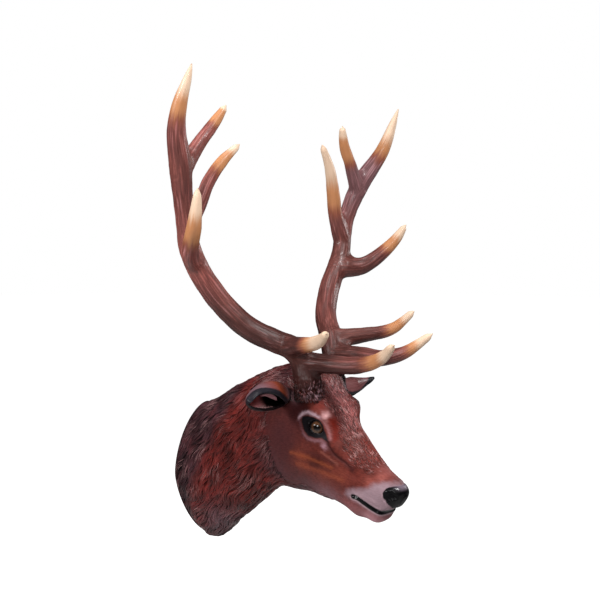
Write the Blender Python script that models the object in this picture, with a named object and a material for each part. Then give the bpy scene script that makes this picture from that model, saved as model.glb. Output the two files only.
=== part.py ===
"""Red deer stag head, a life-size painted casting that hangs on a wall.

The wall is the plane Y = 0, the stag looks along -Y and Z points up. The origin is a point of
the flat back of the neck. Every place below is given as (side, forward, height) in metres, where
forward is the distance from the wall, so its Y is minus that. The stag's left side is +X.
"""

import math
from dataclasses import dataclass

import bmesh
import bpy
import numpy as np
from mathutils import Vector

GAP = 0.0003
MERGE = 0.00001

# ---- neck and head --------------------------------------------------------------------------


@dataclass(frozen=True)
class Station:
    """One cross-section of the body, standing on the midline between a top and a low point."""

    top_forward: float
    top_height: float
    low_forward: float
    low_height: float
    half_width: float
    widest: float  # where the greatest width lies, from 0 at the low point to 1 at the top
    top_power: float  # 2 gives an ellipse, more gives squarer shoulders
    low_power: float


BODY_STATIONS = (
    Station(0.000, 0.189, 0.000, -0.178, 0.118, 0.50, 1.72, 1.50),
    Station(0.076, 0.217, 0.052, -0.186, 0.119, 0.53, 1.95, 1.75),
    Station(0.150, 0.255, 0.128, -0.124, 0.116, 0.54, 2.05, 1.90),
    Station(0.226, 0.290, 0.200, -0.067, 0.106, 0.54, 2.10, 2.00),
    Station(0.295, 0.315, 0.258, -0.023, 0.094, 0.55, 2.10, 2.00),
    Station(0.345, 0.325, 0.298, -0.004, 0.085, 0.58, 2.10, 1.95),
    Station(0.388, 0.322, 0.345, -0.001, 0.081, 0.62, 2.10, 1.85),
    Station(0.430, 0.299, 0.393, 0.001, 0.078, 0.64, 2.20, 1.80),
    Station(0.467, 0.257, 0.435, -0.005, 0.075, 0.65, 2.20, 1.80),
    Station(0.504, 0.212, 0.474, -0.010, 0.067, 0.63, 2.15, 1.85),
    Station(0.543, 0.167, 0.511, -0.020, 0.056, 0.58, 2.10, 1.95),
    Station(0.582, 0.128, 0.542, -0.034, 0.048, 0.54, 2.10, 2.05),
    Station(0.615, 0.098, 0.572, -0.035, 0.043, 0.52, 2.10, 2.15),
    Station(0.645, 0.077, 0.602, -0.038, 0.039, 0.52, 2.20, 2.20),
    Station(0.665, 0.063, 0.627, -0.026, 0.034, 0.52, 2.30, 2.20),
    Station(0.678, 0.051, 0.646, -0.008, 0.025, 0.52, 2.20, 2.10),
    Station(0.681, 0.038, 0.663, 0.010, 0.011, 0.50, 2.00, 2.00),
)


@dataclass(frozen=True)
class Swell:
    """A soft rise or hollow of the surface, the same on both sides of the head."""

    side: float
    forward: float
    height: float
    reach: float
    rise: float


BODY_SWELLS = (
    Swell(0.062, 0.487, 0.218, 0.019, 0.0215),  # brow ridge over the eye
    Swell(0.060, 0.468, 0.240, 0.022, 0.0060),  # upper end of the brow ridge
    Swell(0.040, 0.522, 0.178, 0.018, -0.0040),  # dip where the ridge meets the bridge
    Swell(0.072, 0.446, 0.196, 0.018, 0.0030),  # rear rim of the eye socket
    Swell(0.068, 0.497, 0.143, 0.024, 0.0045),  # cheek bone below the eye
    Swell(0.074, 0.462, 0.179, 0.015, -0.0090),  # eye socket
    Swell(0.070, 0.410, 0.092, 0.042, 0.0075),  # jaw muscle
    Swell(0.070, 0.420, 0.235, 0.022, -0.0050),  # temple
    Swell(0.052, 0.428, 0.280, 0.024, 0.0160),  # foot of the antler
    Swell(0.000, 0.452, 0.272, 0.020, 0.0030),  # crown between the antlers
    Swell(0.046, 0.560, 0.082, 0.022, -0.0040),  # hollow in front of the cheek
    Swell(0.032, 0.646, 0.044, 0.017, 0.0040),  # nostril wing
    Swell(0.018, 0.607, -0.026, 0.014, 0.0030),  # chin
)

BODY_RINGS = 37
BODY_SIDES = 30

NECK_CUT_TOP = (0.355, 0.345)  # forward and height of the parting line behind the ears
NECK_CUT_LOW = (0.296, -0.030)
MOUTH_FRONT = (0.700, -0.027)  # the mouth line runs straight from here to the mouth's corner
MOUTH_CORNER = (0.555, 0.022)
MOUTH_SLOPE = (MOUTH_FRONT[1] - MOUTH_CORNER[1]) / (MOUTH_FRONT[0] - MOUTH_CORNER[0])
JAW_REAR_FORWARD = 0.280
LIPS_APART = 0.0030

EYE_RADIUS = 0.0215
EYE_PLACE = (0.0575, 0.4600, 0.1790)
LID_OPENING_PLACE = (0.0780, 0.4640, 0.1790)
LID_OPENING_HALF_SIZES = (0.0130, 0.0235, 0.0155)
LID_TILT_DEG = 42.0

NOSE_PLACE = (0.0, 0.6660, 0.0370)
NOSE_HALF_SIZES = (0.0300, 0.0270, 0.0245)
NOSE_TILT_DEG = -24.0

# ---- ears -----------------------------------------------------------------------------------


@dataclass(frozen=True)
class EarRing:
    """One section across the ear: a crescent round a centre, open between two angles."""

    side: float
    forward: float
    height: float
    radius: float
    wall: float
    upper_edge_deg: float  # from straight forward, turning up
    lower_edge_deg: float


EAR_RINGS = (
    EarRing(0.062, 0.366, 0.2520, 0.0170, 0.0060, 20.0, 335.0),
    EarRing(0.082, 0.371, 0.2580, 0.0225, 0.0055, 28.0, 325.0),
    EarRing(0.104, 0.377, 0.2620, 0.0300, 0.0050, 40.0, 305.0),
    EarRing(0.130, 0.384, 0.2620, 0.0325, 0.0048, 50.0, 292.0),
    EarRing(0.158, 0.390, 0.2605, 0.0300, 0.0045, 54.0, 286.0),
    EarRing(0.186, 0.394, 0.2580, 0.0245, 0.0042, 56.0, 284.0),
    EarRing(0.212, 0.398, 0.2565, 0.0165, 0.0038, 58.0, 282.0),
    EarRing(0.230, 0.401, 0.2565, 0.0090, 0.0034, 60.0, 280.0),
    EarRing(0.239, 0.403, 0.2570, 0.0045, 0.0030, 62.0, 278.0),
)
EAR_TIP_LIFT = {"left": 0.012, "right": 0.000}  # the left ear tip is held a little higher
EAR_ARCH = {"left": -0.011, "right": 0.004}  # and its middle hangs lower
EAR_SPAN = {"left": 0.84, "right": 1.00}
EAR_ARC_POINTS = 9
EAR_LENGTH_RINGS = 11

# ---- antlers --------------------------------------------------------------------------------


@dataclass(frozen=True)
class Limb:
    """A beam or a tine: the points that its centre line runs through and its radii there."""

    points: tuple
    radii: tuple
    steps: int


BEAM_POINTS = {
    "left": (
        (0.052, 0.430, 0.258), (0.058, 0.426, 0.291), (0.062, 0.413, 0.338),
        (0.076, 0.391, 0.374), (0.104, 0.359, 0.396), (0.151, 0.307, 0.437),
        (0.216, 0.266, 0.505), (0.276, 0.254, 0.593), (0.304, 0.252, 0.697),
        (0.337, 0.277, 0.797), (0.380, 0.322, 0.892), (0.384, 0.376, 1.006)),
    "right": (
        (0.052, 0.430, 0.256), (0.058, 0.426, 0.289), (0.062, 0.413, 0.334),
        (0.076, 0.391, 0.366), (0.103, 0.360, 0.383), (0.156, 0.311, 0.421),
        (0.218, 0.267, 0.500), (0.272, 0.248, 0.595), (0.302, 0.258, 0.695),
        (0.338, 0.286, 0.795), (0.376, 0.320, 0.893), (0.382, 0.377, 1.005)),
}
BEAM_RADII = (0.0280, 0.0330, 0.0300, 0.0300, 0.0290, 0.0285, 0.0280, 0.0265, 0.0225, 0.0260, 0.0195, 0.0085)
BEAM_STEPS = 36
TREZ_FORK = 0.620  # share of the beam's length where it is parted at the second fork
CROWN_FORK = 0.820

SIDES = {"left": 1, "right": -1}

TINES = {
    "left": {
        "brow_tine": Limb(
            ((0.062, 0.413, 0.338), (0.055, 0.498, 0.345), (0.048, 0.570, 0.344),
             (0.052, 0.637, 0.362), (0.077, 0.698, 0.408)),
            (0.0270, 0.0225, 0.0200, 0.0155, 0.0080), 13),
        "bez_tine": Limb(
            ((0.082, 0.384, 0.378), (0.118, 0.471, 0.392), (0.143, 0.532, 0.408), (0.169, 0.581, 0.453)),
            (0.0270, 0.0190, 0.0150, 0.0075), 11),
        "trez_tine": Limb(
            ((0.262, 0.256, 0.565), (0.319, 0.296, 0.566), (0.353, 0.336, 0.598),
             (0.376, 0.372, 0.639), (0.389, 0.400, 0.682)),
            (0.0350, 0.0250, 0.0200, 0.0155, 0.0075), 12),
        "crown_rear_tine": Limb(
            ((0.290, 0.250, 0.640), (0.254, 0.256, 0.705), (0.228, 0.268, 0.770),
             (0.196, 0.283, 0.830), (0.151, 0.294, 0.890)),
            (0.0260, 0.0200, 0.0180, 0.0140, 0.0075), 12),
        "crown_inner_tine": Limb(
            ((0.332, 0.275, 0.775), (0.281, 0.286, 0.850), (0.243, 0.295, 0.899), (0.216, 0.310, 0.946)),
            (0.0230, 0.0165, 0.0140, 0.0075), 10),
    },
    "right": {
        "brow_tine": Limb(
            ((0.062, 0.413, 0.332), (0.053, 0.499, 0.332), (0.047, 0.572, 0.334),
             (0.053, 0.640, 0.353), (0.078, 0.699, 0.391)),
            (0.0270, 0.0225, 0.0200, 0.0155, 0.0080), 13),
        "bez_tine": Limb(
            ((0.082, 0.384, 0.370), (0.118, 0.472, 0.380), (0.141, 0.533, 0.393), (0.170, 0.583, 0.417)),
            (0.0270, 0.0195, 0.0155, 0.0075), 11),
        "trez_tine": Limb(
            ((0.260, 0.250, 0.560), (0.317, 0.296, 0.570), (0.356, 0.340, 0.600),
             (0.377, 0.378, 0.653), (0.389, 0.403, 0.734)),
            (0.0300, 0.0220, 0.0190, 0.0165, 0.0075), 14),
        "crown_rear_tine": Limb(
            ((0.290, 0.250, 0.645), (0.256, 0.259, 0.711), (0.232, 0.267, 0.770),
             (0.197, 0.280, 0.821), (0.153, 0.290, 0.862)),
            (0.0220, 0.0170, 0.0155, 0.0135, 0.0070), 12),
        "crown_inner_tine": Limb(
            ((0.332, 0.276, 0.775), (0.283, 0.286, 0.848), (0.247, 0.296, 0.896), (0.217, 0.310, 0.945)),
            (0.0230, 0.0165, 0.0145, 0.0075), 10),
    },
}
TIP_ROUNDING = 0.06  # share of a limb's length over which its end is rounded
TUBE_BEVEL = 3  # gives a ten-sided tube

# ---- finishes: base colour and roughness ----------------------------------------------------

COAT_BROWN = ((0.115, 0.038, 0.028), 0.42)
FACE_BROWN = ((0.200, 0.065, 0.038), 0.42)
NOSE_BLACK = ((0.010, 0.010, 0.012), 0.12)
EAR_SLATE = ((0.070, 0.040, 0.040), 0.45)
EYE_AMBER = ((0.120, 0.070, 0.030), 0.05)
ANTLER_BROWN = ((0.110, 0.050, 0.042), 0.40)


# ---- helpers --------------------------------------------------------------------------------


def place(side, forward, height):
    """A point of the model's frame from its side, forward and height."""
    return Vector((side, -forward, height))


def clear_scene():
    """Removes every object that the scene starts with."""
    for obj in list(bpy.data.objects):
        bpy.data.objects.remove(obj, do_unlink=True)


def make_collection(name):
    """A new collection under the scene."""
    collection = bpy.data.collections.new(name)
    bpy.context.scene.collection.children.link(collection)
    return collection


def make_material(name, finish):
    """A Principled material with a colour and a roughness."""
    colour, roughness = finish
    material = bpy.data.materials.new(name)
    material.use_nodes = True
    shader = material.node_tree.nodes["Principled BSDF"]
    shader.inputs["Base Color"].default_value = (*colour, 1.0)
    shader.inputs["Roughness"].default_value = roughness
    shader.inputs["Metallic"].default_value = 0.0
    return material


def add_object(name, mesh, collection, material=None):
    """Puts a mesh in a collection as a named object."""
    obj = bpy.data.objects.new(name, mesh)
    collection.objects.link(obj)
    if material:
        mesh.materials.clear()
        mesh.materials.append(material)
    mesh.shade_smooth()
    mesh.set_sharp_from_angle(angle=math.radians(40.0))
    return obj


def as_cutter(obj):
    """Marks an object as a tool that isn't part of the model."""
    obj.hide_render = True
    obj.display_type = "WIRE"
    return obj


def through(values, count):
    """Catmull-Rom curve through rows of values, read at evenly spaced parameters."""
    rows = np.asarray(values, dtype=float)
    padded = np.vstack([2.0 * rows[0] - rows[1], rows, 2.0 * rows[-1] - rows[-2]])
    at = np.linspace(0.0, len(rows) - 1.0, count)
    index = np.minimum(at.astype(int), len(rows) - 2)
    t = (at - index)[:, None]
    a, b, c, d = (padded[index + k] for k in range(4))
    return 0.5 * (2.0 * b + (c - a) * t + (2.0 * a - 5.0 * b + 4.0 * c - d) * t**2
                  + (3.0 * b - a - 3.0 * c + d) * t**3)


def loft(name, rings, collection, material=None):
    """A closed solid over rings of equal point counts, with a flat cap at each end."""
    count, sides = rings.shape[:2]
    corner = np.arange(count * sides).reshape(count, sides)
    following = np.roll(corner, -1, axis=1)
    quads = np.stack([corner[:-1], following[:-1], following[1:], corner[1:]], axis=-1)
    faces = quads.reshape(-1, 4).tolist() + [corner[0, ::-1].tolist(), corner[-1].tolist()]
    mesh = bpy.data.meshes.new(name)
    mesh.from_pydata(rings.reshape(-1, 3).tolist(), [], faces)
    work = bmesh.new()
    work.from_mesh(mesh)
    bmesh.ops.remove_doubles(work, verts=work.verts, dist=MERGE)
    bmesh.ops.recalc_face_normals(work, faces=work.faces)
    # Fixed triangles keep a cut's two sides from folding bent quads in different ways.
    bmesh.ops.triangulate(work, faces=work.faces)
    work.to_mesh(mesh)
    work.free()
    return add_object(name, mesh, collection, material)


def apply_modifiers(obj):
    """Bakes an object's modifiers into its own mesh."""
    graph = bpy.context.evaluated_depsgraph_get()
    mesh = bpy.data.meshes.new_from_object(obj.evaluated_get(graph))
    obj.modifiers.clear()
    obj.data = mesh
    return obj


def combine(obj, tool, operation):
    """Applies one exact Boolean to an object."""
    modifier = obj.modifiers.new(operation.lower(), "BOOLEAN")
    modifier.solver = "EXACT"
    modifier.operation = operation
    modifier.object = tool
    return apply_modifiers(obj)


def keep_largest(obj):
    """Drops the slivers that a cut leaves beyond its far side."""
    work = bmesh.new()
    work.from_mesh(obj.data)
    unseen = set(work.verts)
    islands = []
    while unseen:
        front = [unseen.pop()]
        island = list(front)
        while front:
            vert = front.pop()
            near = {edge.other_vert(vert) for edge in vert.link_edges} & unseen
            unseen -= near
            front.extend(near)
            island.extend(near)
        islands.append(island)
    islands.sort(key=len)
    bmesh.ops.delete(work, geom=[vert for island in islands[:-1] for vert in island], context="VERTS")
    work.to_mesh(obj.data)
    work.free()
    return obj


def copy_of(obj, name, collection, material=None):
    """A second object with its own copy of a mesh."""
    return add_object(name, obj.data.copy(), collection, material)


def swollen(obj, amount, name, collection):
    """A copy whose surface is moved out by a small amount."""
    tool = copy_of(obj, name, collection)
    displace = tool.modifiers.new("grow", "DISPLACE")
    displace.strength = amount
    displace.mid_level = 0.0
    return as_cutter(apply_modifiers(tool))


def outline_block(name, outline, half_width, collection):
    """A cutter: a flat outline on the midline plane, given as (forward, height), made thick."""
    curve = bpy.data.curves.new(name, "CURVE")
    curve.dimensions = "2D"
    curve.fill_mode = "BOTH"
    curve.extrude = half_width
    spline = curve.splines.new("POLY")
    spline.points.add(len(outline) - 1)
    for point, (forward, height) in zip(spline.points, outline):
        point.co = (-forward, height, 0.0, 1.0)
    spline.use_cyclic_u = True
    holder = bpy.data.objects.new(name, curve)
    collection.objects.link(holder)
    # Local X becomes Y, local Y becomes Z and local Z becomes X.
    holder.rotation_euler = (math.radians(90.0), 0.0, math.radians(90.0))
    return as_cutter(curve_to_mesh(holder, collection))


def curve_to_mesh(holder, collection, material=None):
    """Turns a curve object into a closed mesh object of the same name."""
    bpy.context.view_layer.update()
    graph = bpy.context.evaluated_depsgraph_get()
    mesh = bpy.data.meshes.new_from_object(holder.evaluated_get(graph))
    mesh.transform(holder.matrix_world)
    name = holder.name
    bpy.data.objects.remove(holder, do_unlink=True)
    work = bmesh.new()
    work.from_mesh(mesh)
    bmesh.ops.remove_doubles(work, verts=work.verts, dist=MERGE)
    bmesh.ops.recalc_face_normals(work, faces=work.faces)
    work.to_mesh(mesh)
    work.free()
    return add_object(name, mesh, collection, material)


# ---- neck, head, jaw, nose and eyes ---------------------------------------------------------


def body_rings():
    """Rings of the whole neck and head, from the wall to the tip of the nose."""
    table = [(s.top_forward, s.top_height, s.low_forward, s.low_height, s.half_width,
              s.widest, s.top_power, s.low_power) for s in BODY_STATIONS]
    row = through(table, BODY_RINGS)
    top, low = row[:, None, 0:2], row[:, None, 2:4]
    half_width, widest, top_power, low_power = (row[:, None, k] for k in range(4, 8))
    angle = np.linspace(0.0, 2.0 * math.pi, BODY_SIDES, endpoint=False)[None, :]
    sine, cosine = np.sin(angle), np.cos(angle)
    power = np.where(cosine >= 0.0, top_power, low_power)
    across = half_width * np.sign(sine) * np.abs(sine) ** (2.0 / power)
    along = np.sign(cosine) * np.abs(cosine) ** (2.0 / power)
    share = widest + np.where(along >= 0.0, 1.0 - widest, widest) * along
    middle = low + (top - low) * share[..., None]
    rings = np.stack([across, -middle[..., 0], middle[..., 1]], axis=-1)
    return add_swells(rings)


def add_swells(rings):
    """Moves each point along the surface normal by a bell curve round each swell."""
    around = np.roll(rings, -1, axis=1) - np.roll(rings, 1, axis=1)
    along = np.gradient(rings, axis=0)
    normal = np.cross(around, along)
    length = np.linalg.norm(normal, axis=-1, keepdims=True)
    normal = normal / np.maximum(length, 1e-12)
    centre = rings.mean(axis=1, keepdims=True)
    outward = np.sum(normal * (rings - centre), axis=-1).mean()
    normal = normal * np.sign(outward)
    rise = np.zeros(rings.shape[:2])
    for swell in BODY_SWELLS:
        for side in sorted({swell.side, -swell.side}):
            spot = np.array(place(side, swell.forward, swell.height))
            distance = np.linalg.norm(rings - spot, axis=-1)
            rise += swell.rise * np.exp(-0.5 * (distance / swell.reach) ** 2)
    rise[0] = 0.0
    return rings + normal * rise[..., None]


def ball(name, centre, radii, tilt_deg, collection, material=None, segments=16, rings=10):
    """An ellipsoid from a sphere primitive."""
    mesh = bpy.data.meshes.new(name)
    work = bmesh.new()
    bmesh.ops.create_uvsphere(work, u_segments=segments, v_segments=rings, radius=1.0)
    bmesh.ops.scale(work, vec=Vector(radii), verts=work.verts)
    work.to_mesh(mesh)
    work.free()
    obj = add_object(name, mesh, collection, material)
    obj.location = centre
    obj.rotation_euler = (math.radians(tilt_deg), 0.0, 0.0)
    bpy.context.view_layer.update()
    return obj


def mouth_height(forward):
    """Height of the mouth line, which is carried back as the jaw's parting line."""
    return MOUTH_CORNER[1] + MOUTH_SLOPE * (forward - MOUTH_CORNER[0])


def build_flesh(parts, cutters):
    """Neck, head, lower jaw, nose pad and eyes, parted from one closed body."""
    coat = make_material("coat_brown", COAT_BROWN)
    face = make_material("face_brown", FACE_BROWN)
    body = as_cutter(loft("body_form", body_rings(), cutters))

    def parting(offset):
        """The line behind the ears, moved forward by an offset."""
        return [(NECK_CUT_LOW[0] + offset, NECK_CUT_LOW[1]), (NECK_CUT_TOP[0] + offset, NECK_CUT_TOP[1])]

    low, top = parting(-GAP / 2.0)
    ahead = outline_block("ahead_of_neck", [low, (0.8, -0.3), (0.8, 0.5), top], 0.2, cutters)
    low, top = parting(GAP / 2.0)
    behind = outline_block("behind_head", [(-0.1, -0.3), (0.28, -0.3), low, top, (-0.1, 0.5)], 0.2, cutters)

    front, rear = MOUTH_FRONT[0], JAW_REAR_FORWARD
    corner_height = mouth_height(MOUTH_CORNER[0])
    under = outline_block("under_mouth", [
        (front, mouth_height(front) + LIPS_APART), (MOUTH_CORNER[0], corner_height + GAP / 2.0),
        (rear, mouth_height(rear) + GAP / 2.0), (rear, -0.2), (front, -0.2)], 0.2, cutters)
    over = outline_block("over_mouth", [
        (front, mouth_height(front)), (MOUTH_CORNER[0], corner_height - GAP / 2.0),
        (rear, mouth_height(rear) - GAP / 2.0), (rear, 0.5), (front, 0.5)], 0.2, cutters)

    combine(copy_of(body, "neck", parts, coat), ahead, "DIFFERENCE")
    combine(combine(copy_of(body, "lower_jaw", parts, face), behind, "DIFFERENCE"), over, "DIFFERENCE")
    head = combine(combine(copy_of(body, "head", parts, face), behind, "DIFFERENCE"), under, "DIFFERENCE")

    nose_centre = place(*NOSE_PLACE)
    pad_form = as_cutter(ball("nose_form", nose_centre, NOSE_HALF_SIZES, NOSE_TILT_DEG, cutters))
    socket_sizes = [half + GAP for half in NOSE_HALF_SIZES]
    pad_socket = as_cutter(ball("nose_socket", nose_centre, socket_sizes, NOSE_TILT_DEG, cutters))
    combine(copy_of(head, "nose_pad", parts, make_material("nose_black", NOSE_BLACK)), pad_form, "INTERSECT")
    combine(head, pad_socket, "DIFFERENCE")

    amber = make_material("eye_amber", EYE_AMBER)
    for side_name, sign in SIDES.items():
        centre = place(sign * EYE_PLACE[0], EYE_PLACE[1], EYE_PLACE[2])
        ball(f"eye_{side_name}", centre, [EYE_RADIUS] * 3, 0.0, parts, amber, 14, 10)
        hole = ball(f"eye_hole_{side_name}", centre, [EYE_RADIUS + 2.0 * GAP] * 3, 0.0, cutters,
                    segments=14)
        combine(head, as_cutter(hole), "DIFFERENCE")
        opening_side, opening_forward, opening_height = LID_OPENING_PLACE
        opening = ball(f"lid_opening_{side_name}", place(sign * opening_side, opening_forward, opening_height),
                       LID_OPENING_HALF_SIZES, LID_TILT_DEG, cutters)
        combine(head, as_cutter(opening), "DIFFERENCE")
    return body


# ---- ears -----------------------------------------------------------------------------------


def ear_rings(side_name, sign):
    """Rings of one ear: each is a crescent, its outer arc and back along its inner arc."""
    table = [(e.side, e.forward, e.height, e.radius, e.wall,
              math.radians(e.upper_edge_deg), math.radians(e.lower_edge_deg)) for e in EAR_RINGS]
    row = through(table, EAR_LENGTH_RINGS)
    side, forward, height, radius, wall, first, last = (row[:, k, None] for k in range(7))
    reach_out = (side - side[0]) / (side[-1] - side[0])
    height = height + EAR_TIP_LIFT[side_name] * reach_out**2
    height = height + EAR_ARCH[side_name] * np.sin(math.pi * reach_out)
    radius = radius * EAR_SPAN[side_name]
    share = np.linspace(0.0, 1.0, EAR_ARC_POINTS)[None, :]
    angle = first + (last - first) * share
    inner = np.maximum(radius - wall * np.sin(math.pi * np.clip(share, 0.12, 0.88)), 0.35 * radius)
    angle = np.concatenate([angle, angle[:, ::-1]], axis=1)
    reach = np.concatenate([np.broadcast_to(radius, inner.shape), inner[:, ::-1]], axis=1)
    y = -(forward + reach * np.cos(angle))
    z = height + reach * np.sin(angle)
    x = np.broadcast_to(sign * side, y.shape)
    return np.stack([x, y, z], axis=-1)


def build_ears(parts, body_skin):
    """Both ears, each cut off where it meets the head."""
    material = make_material("ear_slate", EAR_SLATE)
    for side_name, sign in SIDES.items():
        ear = loft(f"ear_{side_name}", ear_rings(side_name, sign), parts, material)
        keep_largest(combine(ear, body_skin, "DIFFERENCE"))


# ---- antlers --------------------------------------------------------------------------------


def limb_line(points, radii, steps, sign):
    """Points and radii along a limb, with its free end rounded."""
    line = through([(sign * x, -forward, z) for x, forward, z in points], steps)
    thickness = through([[r] for r in radii], steps)[:, 0]
    share = np.linspace(0.0, 1.0, steps)
    late = np.clip((share - (1.0 - TIP_ROUNDING)) / TIP_ROUNDING, 0.0, 0.96)
    return line, thickness * np.sqrt(1.0 - late**2)


def tube(name, line, radii, collection, material=None):
    """A ten-sided tube of changing radius along a line of points."""
    curve = bpy.data.curves.new(name, "CURVE")
    curve.dimensions = "3D"
    curve.bevel_depth = 1.0
    curve.bevel_resolution = TUBE_BEVEL
    curve.use_fill_caps = True
    spline = curve.splines.new("POLY")
    spline.points.add(len(line) - 1)
    for point, spot, radius in zip(spline.points, line, radii):
        point.co = (*spot, 1.0)
        point.radius = radius
    holder = bpy.data.objects.new(name, curve)
    collection.objects.link(holder)
    return curve_to_mesh(holder, collection, material)


def cut_flat(obj, spot, direction):
    """Cuts away what lies beyond a plane and closes the flat end."""
    work = bmesh.new()
    work.from_mesh(obj.data)
    everything = work.verts[:] + work.edges[:] + work.faces[:]
    cut = bmesh.ops.bisect_plane(work, geom=everything, plane_co=spot, plane_no=direction, clear_outer=True)
    rim = [item for item in cut["geom_cut"] if isinstance(item, bmesh.types.BMEdge)]
    bmesh.ops.edgeloop_fill(work, edges=rim)
    bmesh.ops.recalc_face_normals(work, faces=work.faces)
    work.to_mesh(obj.data)
    work.free()
    return obj


def build_antler(side_name, sign, parts, cutters, body_skin):
    """One antler, parted at its main forks."""
    material = make_material(f"antler_brown_{side_name}", ANTLER_BROWN)
    prefix = f"antler_{side_name}"
    line, radii = limb_line(BEAM_POINTS[side_name], BEAM_RADII, BEAM_STEPS, sign)
    whole = as_cutter(tube(f"{prefix}_beam_form", line, radii, cutters))
    cuts = []
    for share in (TREZ_FORK, CROWN_FORK):
        index = round(share * (BEAM_STEPS - 1))
        direction = Vector(line[index + 1] - line[index - 1]).normalized()
        cuts.append((Vector(line[index]), direction))
    (trez_spot, trez_way), (crown_spot, crown_way) = cuts
    half = GAP / 2.0

    lower = copy_of(whole, f"{prefix}_beam_lower", parts, material)
    cut_flat(lower, trez_spot - trez_way * half, trez_way)
    combine(lower, body_skin, "DIFFERENCE")
    upper = copy_of(whole, f"{prefix}_beam_upper", parts, material)
    cut_flat(upper, trez_spot + trez_way * half, -trez_way)
    cut_flat(upper, crown_spot - crown_way * half, crown_way)
    outer = copy_of(whole, f"{prefix}_crown_outer_tine", parts, material)
    cut_flat(outer, crown_spot + crown_way * half, -crown_way)

    beam_clearance = as_cutter(tube(f"{prefix}_beam_clearance", line, radii + 2.0 * GAP, cutters))
    for tine_name, limb in TINES[side_name].items():
        tine_line, tine_radii = limb_line(limb.points, limb.radii, limb.steps, sign)
        tine = tube(f"{prefix}_{tine_name}", tine_line, tine_radii, parts, material)
        keep_largest(combine(tine, beam_clearance, "DIFFERENCE"))


def main():
    """Builds the whole stag head."""
    clear_scene()
    parts = make_collection("stag_head")
    cutters = make_collection("cutters")
    body = build_flesh(parts, cutters)
    body_skin = swollen(body, 2.0 * GAP, "body_skin", cutters)
    build_ears(parts, body_skin)
    for side_name, sign in SIDES.items():
        build_antler(side_name, sign, parts, cutters, body_skin)


main()
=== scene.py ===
"""Looks of a life-size stag head wall statue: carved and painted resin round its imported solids.

Places are given as (side, forward, height) in metres. The wall is the plane Y = 0 and the stag
looks along -Y, so forward is -Y; its left side is +X and height is Z. Colours are mixed from
screen values by tone().
"""

import logging
import math
from dataclasses import astuple, dataclass
from enum import Enum

import bpy
import numpy as np
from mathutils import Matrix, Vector
from numpy.typing import NDArray


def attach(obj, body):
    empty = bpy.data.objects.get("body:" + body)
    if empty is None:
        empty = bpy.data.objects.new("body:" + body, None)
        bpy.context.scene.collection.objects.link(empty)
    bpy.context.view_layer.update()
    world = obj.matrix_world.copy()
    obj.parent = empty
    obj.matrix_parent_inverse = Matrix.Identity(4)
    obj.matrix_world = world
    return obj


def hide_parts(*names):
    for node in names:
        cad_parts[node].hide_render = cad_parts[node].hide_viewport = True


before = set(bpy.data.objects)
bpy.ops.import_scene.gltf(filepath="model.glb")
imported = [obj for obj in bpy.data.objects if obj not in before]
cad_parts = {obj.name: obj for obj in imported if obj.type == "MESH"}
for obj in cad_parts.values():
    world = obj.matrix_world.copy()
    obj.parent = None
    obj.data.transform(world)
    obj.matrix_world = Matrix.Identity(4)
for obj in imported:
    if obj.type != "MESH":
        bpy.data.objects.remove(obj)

Array = NDArray[np.float64]
Whole = NDArray[np.int64]
Triple = tuple[float, float, float]
SideLine = tuple[tuple[float, float], ...]
LOG = logging.getLogger("stag_head")
BODY = "root"
WRAP = 2.0 * math.pi
WHITE = (1.0, 1.0, 1.0, 1.0)
SRGB_KNEE = 0.04045  # below it, screen values are a straight line


class Slot(Enum):
    """Names of material slots."""

    COAT = "coat"
    EAR = "ear"
    EYE = "eye"
    ANTLER = "antler"


class Side(Enum):
    """The stag's two sides, with the sign that each has along X."""

    LEFT = 1
    RIGHT = -1

    @property
    def word(self) -> str:
        """The side's name as used in node names."""
        return self.name.lower()


# ---- numbers and curves ----


def tone(red: float, green: float, blue: float) -> Array:
    """A linear colour from screen values between 0 and 255."""
    value = np.array([red, green, blue]) / 255.0
    return np.where(value <= SRGB_KNEE, value / 12.92, ((value + 0.055) / 1.055) ** 2.4)


def place(side: float, forward: float, height: float) -> Array:
    """A point of the frame from its side, forward and height."""
    return np.array([side, -forward, height])


def folded(points: Array) -> Array:
    """Points of both sides, folded over onto the left one."""
    return np.concatenate([np.abs(points[..., :1]), points[..., 1:]], axis=-1)


def plan(points: Array) -> Array:
    """Points seen from the side, as (forward, height)."""
    return np.stack([-points[..., 1], points[..., 2]], axis=-1)


def far_from(points: Array, spot: Array) -> Array:
    """Distance of each point from a spot."""
    return np.linalg.norm(points - spot, axis=-1)


def unit(vectors: Array) -> Array:
    """Vectors scaled to length one."""
    return vectors / np.maximum(np.linalg.norm(vectors, axis=-1, keepdims=True), 1e-12)


def laid_along(way: Array, normals: Array) -> Array:
    """Unit directions along a surface: the ways less their part along the normals."""
    return unit(way - normals * np.sum(way * normals, -1, keepdims=True))


def turned_about(normals: Array, way: Array, angle: Array) -> Array:
    """Ways along a surface, each turned about the normal by its angle."""
    return way * np.cos(angle)[:, None] + np.cross(normals, way) * np.sin(angle)[:, None]


def turns(count: int) -> Array:
    """Evenly spaced angles of one whole turn."""
    return np.linspace(0.0, WRAP, count, endpoint=False)


def ease(low: float, high: float, value: Array) -> Array:
    """0 below low, 1 above high and a smooth step, 3t^2 - 2t^3, between them."""
    t = np.clip((value - low) / (high - low), 0.0, 1.0)
    return t * t * (3.0 - 2.0 * t)


def bell(distance: Array, reach: float) -> Array:
    """A bell curve, exp(-d^2 / 2r^2), that is 1 at no distance."""
    return np.exp(-0.5 * (distance / reach) ** 2)


def blend(under: Array, over: Array, share: Array) -> Array:
    """Lays one colour or value over another by a share between 0 and 1."""
    return under + (over - under) * share


def painted(under: Array, colour: Triple, share: Array) -> Array:
    """Lays one screen colour over a colour for each point, by a share for each point."""
    return blend(under, tone(*colour), share[..., None])


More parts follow.
